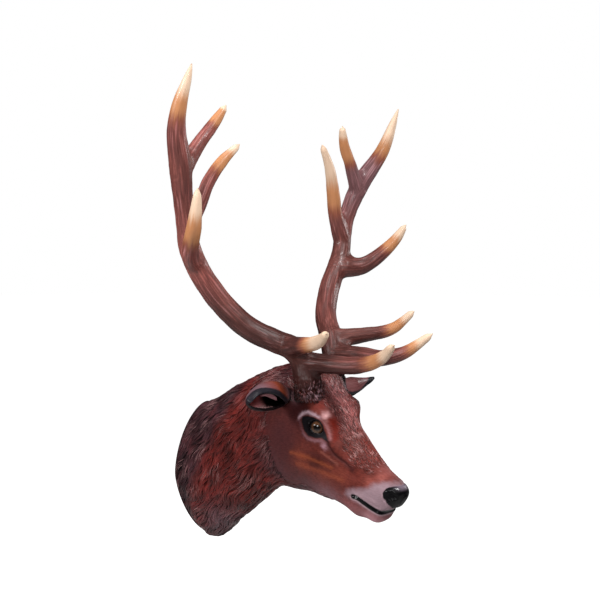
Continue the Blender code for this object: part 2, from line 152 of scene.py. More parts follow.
def through(values: Array, at: Array) -> Array:
    """Catmull-Rom curve through rows of values.

    Args:
        values: rows of numbers, one row for each whole parameter.
        at: parameters to read the curve at.

    Returns:
        One row for each parameter.
    """
    rows = np.asarray(values, dtype=float)
    padded = np.vstack([2.0 * rows[0] - rows[1], rows, 2.0 * rows[-1] - rows[-2]])
    index = np.clip(at.astype(int), 0, len(rows) - 2)
    t = (at - index)[:, None]
    a, b, c, d = (padded[index + k] for k in range(4))
    return 0.5 * (2.0 * b + (c - a) * t + (2.0 * a - 5.0 * b + 4.0 * c - d) * t**2
                  + (3.0 * b - a - 3.0 * c + d) * t**3)


def line_distance(points: Array, line: Array) -> tuple[Array, Array]:
    """Distance from points to a line of straight pieces.

    Args:
        points: the points, in two or three numbers each.
        line: the line's corners.

    Returns:
        The distances, and how far along the line each nearest point is, from 0 to 1.
    """
    nearest = np.full(points.shape[:-1], np.inf)
    share = np.zeros(points.shape[:-1])
    pieces = len(line) - 1
    for index in range(pieces):
        start, run = line[index], line[index + 1] - line[index]
        t = np.clip(((points - start) @ run) / (run @ run), 0.0, 1.0)
        distance = np.linalg.norm(points - start - t[..., None] * run, axis=-1)
        share = np.where(distance < nearest, (index + t) / pieces, share)
        nearest = np.minimum(nearest, distance)
    return nearest, share


def outline_depth(points: Array, outline: Array) -> Array:
    """How far points of a plane lie inside a closed outline; negative outside it.

    A point is inside where a ray from it crosses the outline an odd number of times.

    Args:
        points: points of the plane.
        outline: the outline's corners in order.

    Returns:
        The signed distance to the outline.
    """
    closed = np.vstack([outline, outline[:1]])
    distance, _ = line_distance(points, closed)
    inside = np.zeros(points.shape[:-1], dtype=bool)
    for (x0, y0), (x1, y1) in zip(closed[:-1], closed[1:]):
        if y0 == y1:
            continue
        spans = (points[..., 1] > y0) != (points[..., 1] > y1)
        crossing = x0 + (points[..., 1] - y0) * (x1 - x0) / (y1 - y0)
        inside ^= spans & (points[..., 0] < crossing)
    return np.where(inside, distance, -distance)


class Noise:
    """Smooth gradient noise on a lattice, the same each run for one seed."""

    SIZE = 256

    def __init__(self, seed: int) -> None:
        """Draws the lattice's order and slopes."""
        rng = np.random.default_rng(seed)
        self.order = rng.permutation(self.SIZE)
        self.slopes = unit(rng.normal(size=(self.SIZE, 3)))

    def at(self, points: Array, size: float = 1.0) -> Array:
        """Noise of about -1 to 1.

        Each lattice corner has a random slope. The eight corners' slopes, read at the point, are
        blended by the fade 6t^5 - 15t^4 + 10t^3.

        Args:
            points: where to read it.
            size: the lattice's spacing.

        Returns:
            One value for each point.
        """
        scaled = points / size
        base = np.floor(scaled).astype(int)
        part = scaled - base
        fade = part**3 * (part * (part * 6.0 - 15.0) + 10.0)
        total = np.zeros(points.shape[:-1])
        for corner in np.ndindex(2, 2, 2):
            cell = (base + corner) % self.SIZE
            hashed = self.order[(self.order[(self.order[cell[..., 0]] + cell[..., 1]) % self.SIZE]
                                 + cell[..., 2]) % self.SIZE]
            weight = np.prod(np.where(corner, fade, 1.0 - fade), axis=-1)
            total += weight * np.sum(self.slopes[hashed] * (part - corner), axis=-1)
        return total * 1.7


# ---- meshes ----


def add_object(name: str, data: bpy.types.ID) -> bpy.types.Object:
    """A new object of the scene, which holds the data."""
    made = bpy.data.objects.new(name, data)
    bpy.context.scene.collection.objects.link(made)
    return made


def starts(totals: Whole) -> NDArray[np.int32]:
    """The first corner of each face, from the faces' numbers of corners."""
    return np.concatenate([[0], np.cumsum(totals)[:-1]]).astype(np.int32)


@dataclass
class Sheet:
    """The arrays of one mesh: points, faces of any size, and what is painted on the points."""

    points: Array
    faces: list[Whole]
    colour: Array
    gloss: Array | float
    strand: Array
    carve: Array | float
    uv: Array
    calm: Array | float | None = None  # 1 where paint and relief are smooth; as the gloss if not given

    def to_object(self, name: str, material: bpy.types.Material) -> bpy.types.Object:
        """Makes the mesh and its attributes.

        Args:
            name: the piece's name.
            material: its finish.

        Returns:
            The new object, at the origin.
        """
        count = len(self.points)
        mesh = bpy.data.meshes.new(name)
        mesh.vertices.add(count)
        mesh.vertices.foreach_set("co", self.points.astype(np.float32).ravel())
        corners = np.concatenate([group.ravel() for group in self.faces])
        totals = np.concatenate([np.full(len(group), group.shape[1]) for group in self.faces])
        mesh.loops.add(len(corners))
        mesh.loops.foreach_set("vertex_index", corners.astype(np.int32))
        mesh.polygons.add(len(totals))
        mesh.polygons.foreach_set("loop_start", starts(totals))
        mesh.update(calc_edges=True)
        mesh.validate()
        layer = mesh.uv_layers.new(name="OFBake")
        order = np.empty(len(mesh.loops), dtype=np.int32)
        mesh.loops.foreach_get("vertex_index", order)
        layer.data.foreach_set("uv", self.unwrapped(self.uv[order], mesh).astype(np.float32).ravel())
        rgba = np.column_stack([np.clip(self.colour, 0.0, 1.0), np.ones(count)])
        calm = self.gloss if self.calm is None else self.calm
        for label, kind, key, values in (
                ("paint", "FLOAT_COLOR", "color", rgba), ("strand", "FLOAT_VECTOR", "vector", self.strand),
                ("gloss", "FLOAT", "value", self.gloss), ("carve", "FLOAT", "value", self.carve),
                ("calm", "FLOAT", "value", calm)):
            whole = values if np.ndim(values) else np.full(count, values)
            made = mesh.attributes.new(label, kind, "POINT").data
            made.foreach_set(key, whole.astype(np.float32).ravel())
        mesh.shade_smooth()
        mesh.materials.append(material)
        return add_object(name, mesh)

    @staticmethod
    def unwrapped(corner_uv: Array, mesh: bpy.types.Mesh) -> Array:
        """Moves a face's corners that lie past the unwrap's seam to the face's own side of it.

        Args:
            corner_uv: the unwrap of each face corner.
            mesh: the mesh they belong to.

        Returns:
            The moved unwrap.
        """
        totals = np.empty(len(mesh.polygons), dtype=np.int32)
        mesh.polygons.foreach_get("loop_total", totals)
        widest = np.repeat(np.maximum.reduceat(corner_uv[:, 0], starts(totals)), totals)
        shifted = corner_uv.copy()
        shifted[:, 0] += np.where(widest - corner_uv[:, 0] > 0.5, 1.0, 0.0)
        return shifted


def grid_faces(rows: int, columns: int) -> Whole:
    """Quads over a grid whose columns close on themselves."""
    corner = np.arange(rows * columns).reshape(rows, columns)
    following = np.roll(corner, -1, axis=1)
    return np.stack([corner[:-1], following[:-1], following[1:], corner[1:]], axis=-1).reshape(-1, 4)


def pole_faces(ring: Whole, pole: int) -> Whole:
    """Triangles from a ring of points to one point."""
    return np.stack([ring, np.full(len(ring), pole), np.roll(ring, -1)], axis=-1)


def tube_faces(rows: int, columns: int, flip: bool = False) -> list[Whole]:
    """Faces of a grid of closed rings and of its two poles, which follow the grid's points.

    They face out for rings that turn from +Z towards +X as the rows go towards -Y.

    Args:
        rows: how many rings.
        columns: points round a ring.
        flip: whether to turn the faces round.

    Returns:
        Groups of faces.
    """
    size = rows * columns
    rings = np.arange(size).reshape(rows, columns)
    groups = [grid_faces(rows, columns), pole_faces(rings[0], size), pole_faces(rings[-1, ::-1], size + 1)]
    return [group[:, ::-1] for group in groups] if flip else groups


def grid_uv(rows: int, columns: int) -> Array:
    """Each grid point's place, as shares of the columns and of the rows."""
    column, row = np.meshgrid(np.arange(columns) / columns, np.arange(rows) / rows)
    return np.stack([column, row], axis=-1)


def grid_normals(points: Array) -> Array:
    """Normals of a grid of closed rings, from the slopes along and round it.

    Args:
        points: the grid.

    Returns:
        One unit normal for each grid point.
    """
    around = np.roll(points, -1, axis=1) - np.roll(points, 1, axis=1)
    along = np.gradient(points, axis=0)
    normal = unit(np.cross(around, along))
    centre = points.mean(axis=1, keepdims=True)
    return normal * np.sign(np.sum(normal * (points - centre), axis=-1).mean())


def keep_piece(obj: bpy.types.Object, slot: Slot, *nodes: str) -> bpy.types.Object:
    """Puts a piece on the body and hides the nodes that it stands for.

    Args:
        obj: the piece.
        slot: its material slot; not used.
        nodes: the nodes, if it stands for any.

    Returns:
        The piece.
    """
    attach(obj, BODY)
    if nodes:
        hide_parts(*nodes)
    LOG.info("%s: %d faces", obj.name, len(obj.data.polygons))
    return obj


# ---- finishes ----


def set_inputs(node: bpy.types.Node, values: dict[str, object]) -> None:
    """Sets a node's inputs by their names."""
    for name, value in values.items():
        node.inputs[name].default_value = value


class GroupMaker:
    """Builds a shader node group from short calls."""

    MIX_COLOURS = (6, 7)  # a Mix node's two colour inputs
    MIX_RESULT = 2

    def __init__(self, name: str) -> None:
        """Starts an empty group."""
        self.tree = bpy.data.node_groups.new(name, "ShaderNodeTree")
        self.entry = self.tree.nodes.new("NodeGroupInput")
        self.exit = self.tree.nodes.new("NodeGroupOutput")

    def socket(self, name: str, kind: str, value: float | None = None, out: bool = False) -> None:
        """Adds an input or an output, with a start value."""
        made = self.tree.interface.new_socket(
            name, in_out="OUTPUT" if out else "INPUT", socket_type=f"NodeSocket{kind}")
        if value is not None:
            made.default_value = value

    def set(self, target: bpy.types.NodeSocket, value: object) -> None:
        """Links a socket, or sets its value."""
        if isinstance(value, bpy.types.NodeSocket):
            self.tree.links.new(value, target)
        else:
            target.default_value = value

    def node(self, kind: str, inputs: dict, output: int | str = 0, **settings: str) -> bpy.types.NodeSocket:
        """Adds a node.

        Args:
            kind: its type, less the usual start.
            inputs: what goes into its sockets.
            output: the socket to give back.
            settings: its modes.

        Returns:
            One of its outputs.
        """
        made = self.tree.nodes.new(f"ShaderNode{kind}")
        for name, value in settings.items():
            setattr(made, name, value)
        for key, value in inputs.items():
            self.set(made.inputs[key], value)
        return made.outputs[output]

    def math(self, operation: str, first: object, second: object) -> bpy.types.NodeSocket:
        """One Math node."""
        return self.node("Math", {0: first, 1: second}, operation=operation)

    def times(self, first: object, second: object) -> bpy.types.NodeSocket:
        """A product."""
        return self.math("MULTIPLY", first, second)

    def noise(self, vector: object, along: float, across: float, detail: float) -> bpy.types.NodeSocket:
        """Noise between 0 and 1, stretched along the hair."""
        scaled = self.node("VectorMath", {0: vector, 1: (along, across, across)}, operation="MULTIPLY")
        return self.node("TexNoise", {"Scale": 1.0, "Detail": detail, "Vector": scaled}, "Fac")

    def ramp(self, value: object, low: float, high: float, top: float = 1.0) -> bpy.types.NodeSocket:
        """0 below low, top above high and a smooth step between."""
        return self.node("MapRange", {"Value": value, "From Min": low, "From Max": high, "To Max": top},
                         "Result", interpolation_type="SMOOTHSTEP")

    def mix(self, share: object, under: object, over: object, how: str = "MIX") -> bpy.types.NodeSocket:
        """Mixes two colours."""
        first, second = self.MIX_COLOURS
        return self.node("Mix", {"Factor": share, first: under, second: over}, self.MIX_RESULT,
                         data_type="RGBA", blend_type=how)


def paint_group() -> bpy.types.NodeTree:
    """Hand-painted resin: streaks along the hair, dark paint in the grooves, dry brush on ridges that is
    partly painted glints.

    Inputs are the ground colour, the strand coordinates in metres, and how high the carving
    stands. It puts out the colour, a height for the bump and a roughness.

    Returns:
        The group's tree.
    """
    made = GroupMaker("hand_painted_resin")
    for name, kind, value in (
            ("Paint", "Color", None), ("Strand", "Vector", None), ("Carve", "Float", 0.5),
            ("Gloss", "Float", 0.0), ("Calm", "Float", 0.0), ("Streak", "Float", 0.5),
            ("Dry Brush", "Float", 0.5), ("Matt", "Float", 0.26)):
        made.socket(name, kind, value)
    for name, kind in (("Colour", "Color"), ("Height", "Float"), ("Roughness", "Float")):
        made.socket(name, kind, out=True)
    take = made.entry.outputs
    streak = made.noise(take["Strand"], 45.0, 420.0, 3.0)
    fine = made.noise(take["Strand"], 160.0, 1500.0, 2.0)
    cloud = made.noise(take["Strand"], 38.0, 60.0, 2.0)
    calm = made.math("SUBTRACT", 1.0, take["Calm"])
    matt = made.math("SUBTRACT", 1.0, take["Gloss"])
    dark = made.times(made.times(made.ramp(streak, 0.62, 0.34), take["Streak"]), calm)
    colour = made.mix(dark, take["Paint"], (0.42, 0.3, 0.3, 1.0), "MULTIPLY")
    cool = made.times(made.ramp(cloud, 0.5, 0.72, 0.35), calm)
    colour = made.mix(cool, colour, (0.85, 0.95, 1.05, 1.0), "MULTIPLY")
    raised = made.math("ADD", made.times(take["Carve"], 0.6), made.times(fine, 0.65))
    # pale dry brush on the raised parts: paint, and in part painted glints
    brush = made.times(made.times(made.ramp(raised, 0.62, 0.9), take["Dry Brush"]), calm)
    pale = made.mix(0.5, colour, (0.6, 0.33, 0.32, 1.0))
    height = made.math("ADD", made.times(streak, 0.65), made.times(fine, 0.35))
    rough = made.times(made.math("ADD", take["Matt"], made.times(fine, 0.2)), matt)
    for name, value in (("Colour", made.mix(brush, colour, pale)), ("Height", made.times(height, calm)),
                        ("Roughness", made.math("ADD", rough, made.times(take["Gloss"], 0.07)))):
        made.set(made.exit.inputs[name], value)
    return made.tree


@dataclass(frozen=True)
class ResinPaint:
    """A painted resin finish for pieces that carry the paint, strand, carve and gloss attributes."""

    name: str
    streak: float
    # share of pale dry brush, in part painted glints
    dry_brush: float
    relief: float  # depth of the finest grooves, in metres
    specular: float = 0.22
    matt: float = 0.26  # roughness of the unvarnished paint

    def material(self, group: bpy.types.NodeTree) -> bpy.types.Material:
        """Builds the material round the shared group.

        Args:
            group: the node group that all finishes share.

        Returns:
            The new material.
        """
        made = bpy.data.materials.new(self.name)
        made.use_nodes = True
        tree = made.node_tree
        shader, bump = tree.nodes["Principled BSDF"], tree.nodes.new("ShaderNodeBump")
        node = tree.nodes.new("ShaderNodeGroup")
        node.node_tree = group
        set_inputs(shader, {"Specular IOR Level": self.specular, "Coat Roughness": 0.06})
        set_inputs(node, {"Streak": self.streak, "Dry Brush": self.dry_brush, "Matt": self.matt})
        set_inputs(bump, {"Strength": 1.0, "Distance": self.relief})
        for attribute, output in (("paint", "Color"), ("strand", "Vector"), ("carve", "Fac"),
                                  ("gloss", "Fac"), ("calm", "Fac")):
            source = tree.nodes.new("ShaderNodeAttribute")
            source.attribute_name = attribute
            tree.links.new(source.outputs[output], node.inputs[attribute.capitalize()])
            if attribute == "gloss":
                tree.links.new(source.outputs[output], shader.inputs["Coat Weight"])
        for source, target in ((node.outputs["Height"], bump.inputs["Height"]),
                               (bump.outputs["Normal"], shader.inputs["Normal"]),
                               (node.outputs["Colour"], shader.inputs["Base Color"]),
                               (node.outputs["Roughness"], shader.inputs["Roughness"])):
            tree.links.new(source, target)
        return made


# ---- the body's form, as in the solids ----


@dataclass(frozen=True)
class Station:
    """One cross-section of the body, standing on the midline between a top and a low point."""

    top_forward: float
    top_height: float
    low_forward: float
    low_height: float
    half_width: float
    widest: float
    top_power: float
    low_power: float


@dataclass(frozen=True)
class Swell:
    """A soft rise or hollow of the surface, the same on both sides."""

    side: float
    forward: float
    height: float
    reach: float
    rise: float


BODY_STATIONS = (
    Station(0.0, 0.189, 0.0, -0.178, 0.118, 0.5, 1.72, 1.5),
    Station(0.076, 0.217, 0.052, -0.186, 0.119, 0.53, 1.95, 1.75),
    Station(0.15, 0.255, 0.128, -0.124, 0.116, 0.54, 2.05, 1.9),
    Station(0.226, 0.29, 0.2, -0.067, 0.106, 0.54, 2.1, 2.0),
    Station(0.295, 0.315, 0.258, -0.023, 0.094, 0.55, 2.1, 2.0),
    Station(0.345, 0.325, 0.298, -0.004, 0.085, 0.58, 2.1, 1.95),
    Station(0.388, 0.322, 0.345, -0.001, 0.081, 0.62, 2.1, 1.85),
    Station(0.43, 0.299, 0.393, 0.001, 0.078, 0.64, 2.2, 1.8),
    Station(0.467, 0.257, 0.435, -0.005, 0.075, 0.65, 2.2, 1.8),
    Station(0.504, 0.212, 0.474, -0.01, 0.067, 0.63, 2.15, 1.85),
    Station(0.543, 0.167, 0.511, -0.02, 0.056, 0.58, 2.1, 1.95),
    Station(0.582, 0.128, 0.542, -0.034, 0.048, 0.54, 2.1, 2.05),
    Station(0.615, 0.098, 0.572, -0.035, 0.043, 0.52, 2.1, 2.15),
    Station(0.645, 0.077, 0.602, -0.038, 0.039, 0.52, 2.2, 2.2),
    Station(0.665, 0.063, 0.627, -0.026, 0.034, 0.52, 2.3, 2.2),
    Station(0.678, 0.051, 0.646, -0.008, 0.025, 0.52, 2.2, 2.1),
    Station(0.681, 0.038, 0.663, 0.01, 0.011, 0.5, 2.0, 2.0),
)

BODY_SWELLS = (
    Swell(0.062, 0.487, 0.218, 0.019, 0.0215),  # brow ridge over the eye
    Swell(0.06, 0.468, 0.24, 0.022, 0.006),  # upper end of the brow ridge
    Swell(0.04, 0.522, 0.178, 0.018, -0.004),  # dip where the ridge meets the bridge
    Swell(0.072, 0.446, 0.196, 0.018, 0.003),  # rear rim of the eye socket
    Swell(0.068, 0.497, 0.143, 0.024, 0.0045),  # cheek bone below the eye
    Swell(0.074, 0.462, 0.179, 0.015, -0.009),  # eye socket
    Swell(0.07, 0.41, 0.092, 0.042, 0.0075),  # jaw muscle
    Swell(0.07, 0.42, 0.235, 0.022, -0.005),  # temple
    Swell(0.052, 0.428, 0.28, 0.024, 0.016),  # foot of the antler
    Swell(0.0, 0.452, 0.272, 0.02, 0.003),  # crown between the antlers
    Swell(0.046, 0.56, 0.082, 0.022, -0.004),  # hollow in front of the cheek
    Swell(0.032, 0.646, 0.044, 0.017, 0.004),  # nostril wing
    Swell(0.018, 0.607, -0.026, 0.014, 0.003),  # chin
)


class BodyForm:
    """The neck and head's outer surface on a grid of rings, finest on the face.

    A ring is a superellipse: at angle a from its top, the side is half_width |sin a|^(2/p) and the
    height share is |cos a|^(2/p), with the power p of the upper or the lower half. The swells then
    move each point along its normal.
    """

    SIDES = 264
    SIDE_CROWDING = 0.12  # draws the columns together on the cheeks
    NECK_STEP = 0.0044
    FACE_STEP = 0.0017
    EYE_STEP = 0.00125
    MUZZLE_STEP = 0.00125

    def __init__(self) -> None:
        """Works out the rings' places and the surface."""
        self.table = np.array([astuple(station) for station in BODY_STATIONS])
        self.at = self.ring_parameters()
        self.points = self.rings(self.at)
        self.normals = grid_normals(self.points)
        self.rows, self.columns = self.points.shape[:2]

    def ring_parameters(self) -> Array:
        """Where the rings lie along the stations, so that their spacing is the wanted step.

        Returns:
            One parameter for each ring.
        """
        dense = np.linspace(0.0, len(self.table) - 1.0, 2001)
        row = through(self.table, dense)
        middle = (row[:, 0:2] + row[:, 2:4]) / 2.0
        forward = middle[:, 0]
        step = blend(self.NECK_STEP, self.FACE_STEP, ease(0.24, 0.34, forward))
        step = blend(step, self.EYE_STEP, bell(forward - 0.458, 0.03))
        step = blend(step, self.MUZZLE_STEP, ease(0.52, 0.58, forward))
        run = np.linalg.norm(np.diff(middle, axis=0), axis=1)
        passed = np.concatenate([[0.0], np.cumsum(run / step[1:])])
        return np.interp(np.linspace(0.0, passed[-1], int(passed[-1])), passed, dense)

    def rings(self, at: Array) -> Array:
        """The surface's points on the rings at the given parameters.

        Args:
            at: the rings' parameters.

        Returns:
            The grid of points.
        """
        row = through(self.table, at)
        top, low = row[:, None, 0:2], row[:, None, 2:4]
        half_width, widest, top_power, low_power = (row[:, None, k] for k in range(4, 8))
        turn = turns(self.SIDES)[None, :]
        angle = turn + self.SIDE_CROWDING * np.sin(2.0 * turn)
        sine, cosine = np.sin(angle), np.cos(angle)
        power = np.where(cosine >= 0.0, top_power, low_power)
        across = half_width * np.sign(sine) * np.abs(sine) ** (2.0 / power)
        along = np.sign(cosine) * np.abs(cosine) ** (2.0 / power)
        share = widest + np.where(along >= 0.0, 1.0 - widest, widest) * along
        middle = low + (top - low) * share[..., None]
        points = np.stack([across, -middle[..., 0], middle[..., 1]], axis=-1)
        rise = np.zeros(points.shape[:2])
        for swell in BODY_SWELLS:
            for side in sorted({swell.side, -swell.side}):
                spot = place(side, swell.forward, swell.height)
                rise += swell.rise * bell(far_from(points, spot), swell.reach)
        rise[0] = 0.0
        return points + grid_normals(points) * rise[..., None]

    def strands(self) -> Array:
        """Coordinates along and across the hair in metres, from the lengths of the grid's lines.

        Returns:
            Three numbers for each grid point, the last of them 0.
        """
        along = np.linalg.norm(np.diff(self.points, axis=0), axis=-1).mean(axis=1)
        along = np.concatenate([[0.0], np.cumsum(along)])
        across = np.linalg.norm(np.diff(self.points, axis=1), axis=-1)
        across = np.concatenate([np.zeros((self.rows, 1)), np.cumsum(across, axis=1)], axis=1)
        across -= across[:, self.columns // 2][:, None]
        grid = np.broadcast_to(along[:, None], across.shape)
        return np.stack([grid, across, np.zeros_like(across)], axis=-1)


# ---- markings ----


@dataclass(frozen=True)
class Patch:
    """Paint inside an outline seen from the side, given as (forward, height)."""

    outline: SideLine
    colour: Triple
    soft: float


@dataclass(frozen=True)
class Spot:
    """Paint round a place, the same on both sides."""

    side: float
    forward: float
    height: float
    reach: float
    colour: Triple
    strength: float = 1.0


@dataclass(frozen=True)
class Streak:
    """A brush stroke along a line of (forward, height), on the outer part of both sides."""

    line: SideLine
    reach: float
    colour: Triple
    strength: float


CHEEK_LINE = ((-0.05, 0.35), (0.0, 0.346), (0.03, 0.34), (0.064, 0.33), (0.105, 0.322),
              (0.149, 0.318), (0.2, 0.325), (0.25, 0.345), (0.3, 0.378), (0.35, 0.4))

EYE_BLACK = ((0.4265, 0.201), (0.444, 0.2055), (0.462, 0.2035), (0.4753, 0.1965), (0.4825, 0.185),
             (0.49, 0.1704), (0.5015, 0.147), (0.484, 0.1555), (0.4645, 0.153), (0.4445, 0.157),
             (0.4326, 0.17), (0.4262, 0.188))
MOUTH_LINE = ((0.558, 0.0226), (0.562, 0.0228), (0.57, 0.021), (0.5813, 0.0157),
              (0.593, 0.0098), (0.6068, 0.0038), (0.6181, -0.0009), (0.629, -0.0055),
              (0.64, -0.0092), (0.65, -0.0116), (0.66, -0.0142))
NOSE_OUTLINE = ((0.64, 0.044), (0.6455, 0.054), (0.654, 0.0585), (0.668, 0.06), (0.7, 0.06),
                (0.7, -0.006), (0.654, -0.001), (0.654, 0.013), (0.648, 0.022), (0.642, 0.033))
MUZZLE_PALE = ((0.5364, 0.024), (0.543, 0.036), (0.56, 0.042), (0.5843, 0.0455), (0.6, 0.05),
               (0.6125, 0.0595), (0.63, 0.065), (0.65, 0.066), (0.7, 0.058), (0.7, -0.04),
               (0.65, -0.012), (0.6262, -0.01), (0.5828, 0.006), (0.56, 0.012))
CURL_LINE = ((0.38, 0.262), (0.43, 0.264), (0.455, 0.258), (0.48, 0.244), (0.497, 0.222),
             (0.51, 0.192), (0.526, 0.154), (0.545, 0.119), (0.56, 0.092), (0.575, 0.088), (0.65, 0.07))


class Markings:
    """The painted colours, which skin and locks share: one colour for each place."""

    NECK_RED = (95, 32, 28)
    NECK_DULL = (58, 34, 38)
    FACE = (88, 36, 29)

    SPOTS = (
        Spot(0.055, 0.11, -0.125, 0.04, (106, 76, 82), 0.8),  # pale dull tip of the chest
        Spot(0.066, 0.325, 0.1, 0.03, (74, 42, 45), 0.8),  # dull band behind the cheek
        Spot(0.055, 0.33, 0.05, 0.03, (76, 46, 50), 0.8),
        Spot(0.08, 0.355, 0.15, 0.045, (64, 32, 34), 0.9),
        Spot(0.078, 0.385, 0.12, 0.026, (66, 32, 33), 0.75),
        Spot(0.078, 0.4, 0.185, 0.026, (72, 34, 34), 0.75),
        Spot(0.072, 0.425, 0.095, 0.02, (128, 60, 42), 0.8),  # orange cheek
        Spot(0.064, 0.478, 0.068, 0.018, (120, 56, 42), 0.8),
        Spot(0.052, 0.525, 0.07, 0.016, (122, 58, 46), 0.6),
        Spot(0.07, 0.462, 0.096, 0.018, (54, 18, 15), 0.85),  # dark strokes across the cheek
        Spot(0.06, 0.51, 0.095, 0.01, (84, 38, 34), 0.5),
        Spot(0.074, 0.44, 0.128, 0.014, (92, 42, 38), 0.55),
        Spot(0.07, 0.425, 0.243, 0.024, (44, 12, 12), 0.95),  # dark temple
        Spot(0.076, 0.405, 0.222, 0.02, (56, 22, 24), 0.85),
        Spot(0.072, 0.446, 0.247, 0.02, (36, 8, 5), 0.95),
        Spot(0.05, 0.345, 0.285, 0.046, (58, 32, 36), 0.85),  # dull behind the ear
        Spot(0.069, 0.476, 0.228, 0.013, (88, 22, 8), 1.0),  # orange over the brow
        Spot(0.07, 0.452, 0.236, 0.013, (96, 38, 30), 0.75),
        Spot(0.064, 0.493, 0.208, 0.0066, (236, 186, 186), 1.0),  # painted highlight on the end of the brow
        # a fainter painted highlight beside it
        Spot(0.058, 0.5, 0.2, 0.005, (140, 80, 76), 0.5),
        Spot(0.0715, 0.491, 0.138, 0.005, (150, 112, 122), 0.9),  # pale corner below the eye
        Spot(0.07, 0.497, 0.131, 0.004, (150, 112, 122), 0.6),
        Spot(0.0, 0.47, 0.255, 0.034, (108, 62, 64), 0.8),  # crown
        Spot(0.0, 0.508, 0.21, 0.04, (142, 80, 78), 0.85),  # forehead
        Spot(0.0, 0.59, 0.12, 0.035, (116, 44, 36), 0.85),  # bridge
        Spot(0.042, 0.548, 0.105, 0.012, (132, 66, 60), 0.6),
        Spot(0.0, 0.63, 0.09, 0.018, (140, 82, 78), 0.7),
        Spot(0.026, 0.626, 0.074, 0.01, (140, 76, 68), 0.8),  # salmon over the muzzle
        Spot(0.036, 0.6, 0.062, 0.01, (150, 78, 68), 0.6),
        Spot(0.03, 0.4, 0.0, 0.04, (84, 56, 60), 0.9),  # throat
        Spot(0.03, 0.47, -0.005, 0.03, (132, 96, 102), 0.85),  # jaw's underside
        Spot(0.03, 0.54, -0.012, 0.026, (138, 84, 86), 0.85),
        Spot(0.02, 0.6, -0.034, 0.024, (174, 126, 132), 0.95),  # pink chin
        Spot(0.06, 0.457, 0.266, 0.009, (168, 136, 144), 0.85),  # pale tufts by antler and ear
        Spot(0.074, 0.4, 0.247, 0.01, (128, 92, 98), 0.8),
    )
    STREAKS = (
        Streak(((0.385, 0.108), (0.44, 0.104), (0.505, 0.086)), 0.0035, (140, 70, 44), 0.55),
        Streak(((0.4, 0.08), (0.46, 0.074), (0.53, 0.06)), 0.004, (134, 66, 46), 0.55),
        Streak(((0.395, 0.094), (0.45, 0.09), (0.5, 0.076)), 0.0025, (76, 36, 32), 0.45),
        Streak(((0.42, 0.12), (0.46, 0.114), (0.51, 0.1)), 0.003, (74, 34, 32), 0.5),
        Streak(((0.47, 0.224), (0.44, 0.24)), 0.006, (110, 44, 34), 0.4),
        # dark paint along the tear gland, in part painted shade in its groove
        Streak(((0.499, 0.152), (0.501, 0.139), (0.513, 0.121), (0.526, 0.11), (0.54, 0.1),
                (0.556, 0.086)), 0.0042, (54, 22, 22), 0.85),
        Streak(((0.482, 0.122), (0.5, 0.112), (0.52, 0.097)), 0.0026, (146, 84, 72), 0.5),
        Streak(((0.499, 0.2), (0.506, 0.18), (0.514, 0.156)), 0.0042, (102, 24, 12), 0.9),
        Streak(((0.4165, 0.198), (0.426, 0.2095), (0.4445, 0.214), (0.464, 0.2105), (0.479, 0.204)),
               0.003, (200, 168, 178), 0.9),
        Streak(((0.479, 0.204), (0.4895, 0.19), (0.4965, 0.174), (0.505, 0.154)),
               0.0024, (150, 100, 102), 0.65),
        Streak(((0.49, 0.147), (0.482, 0.149), (0.4645, 0.1475), (0.4445, 0.15), (0.43, 0.162)),
               0.003, (128, 94, 102), 0.55),
        Streak(((0.43, 0.162), (0.4215, 0.182), (0.4165, 0.198)), 0.0028, (112, 72, 78), 0.5),
    )
    MUZZLE = Patch(MUZZLE_PALE, (136, 112, 119), 0.019)
    EYE = Patch(EYE_BLACK, (18, 14, 18), 0.0036)
    LIP_PALE, MOUTH_BLACK = (168, 142, 148), (5, 4, 5)
    # the nose's grey top is grey paint and in part a painted sheen
    NOSE_BLACK, NOSE_TOP = (5, 4, 6), (114, 99, 112)
    # the black in the ear hole is painted shade
    EAR_HOLE, EAR_HOLE_BLACK = (0.076, 0.372, 0.248), (14, 6, 6)
    LIP_BAND = 0.0061
    STREAKS_FROM = (0.028, 0.04)  # the strokes fade in between these distances from the midline
    NOSE_GLOSS, LIP_GLOSS = 0.17, 0.24

    def __init__(self, noise: Noise) -> None:
        """Keeps the noise that breaks up the edges."""
        self.noise = noise

    @staticmethod
    def past_cheek(points: Array) -> Array:
        """How far points lie in front of the cheek's rear edge."""
        return -points[..., 1] - np.interp(points[..., 2], *np.array(CHEEK_LINE).T)

    @staticmethod
    def above(points: Array, line: SideLine) -> Array:
        """How far points lie above a line of (forward, height)."""
        return points[..., 2] - np.interp(-points[..., 1], *np.array(line).T)

    @classmethod
    def neckness(cls, points: Array, soft: float = 0.016) -> Array:
        """1 on the neck, 0 on the face, with a soft edge along the rear of the cheek."""
        return 1.0 - ease(-soft, 0.012, cls.past_cheek(points))

    def mouth(self, points: Array) -> tuple[Array, Array]:
        """Distance to the mouth's line seen from the side, and the share along it."""
        return line_distance(plan(points), np.array(MOUTH_LINE))

    def nose(self, points: Array) -> Array:
        """1 on the nose pad."""
        wobble = 0.0006 * self.noise.at(points, 0.006)
        return ease(-0.0012, 0.0012, outline_depth(plan(points), np.array(NOSE_OUTLINE)) + wobble)

    def mouth_band(self, points: Array) -> Array:
        """1 on the black line of the lips."""
        distance, share = self.mouth(points)
        half = self.LIP_BAND * (1.0 - 0.25 * ease(0.8, 1.0, share))
        return 1.0 - ease(half - 0.0013, half + 0.0013, distance)

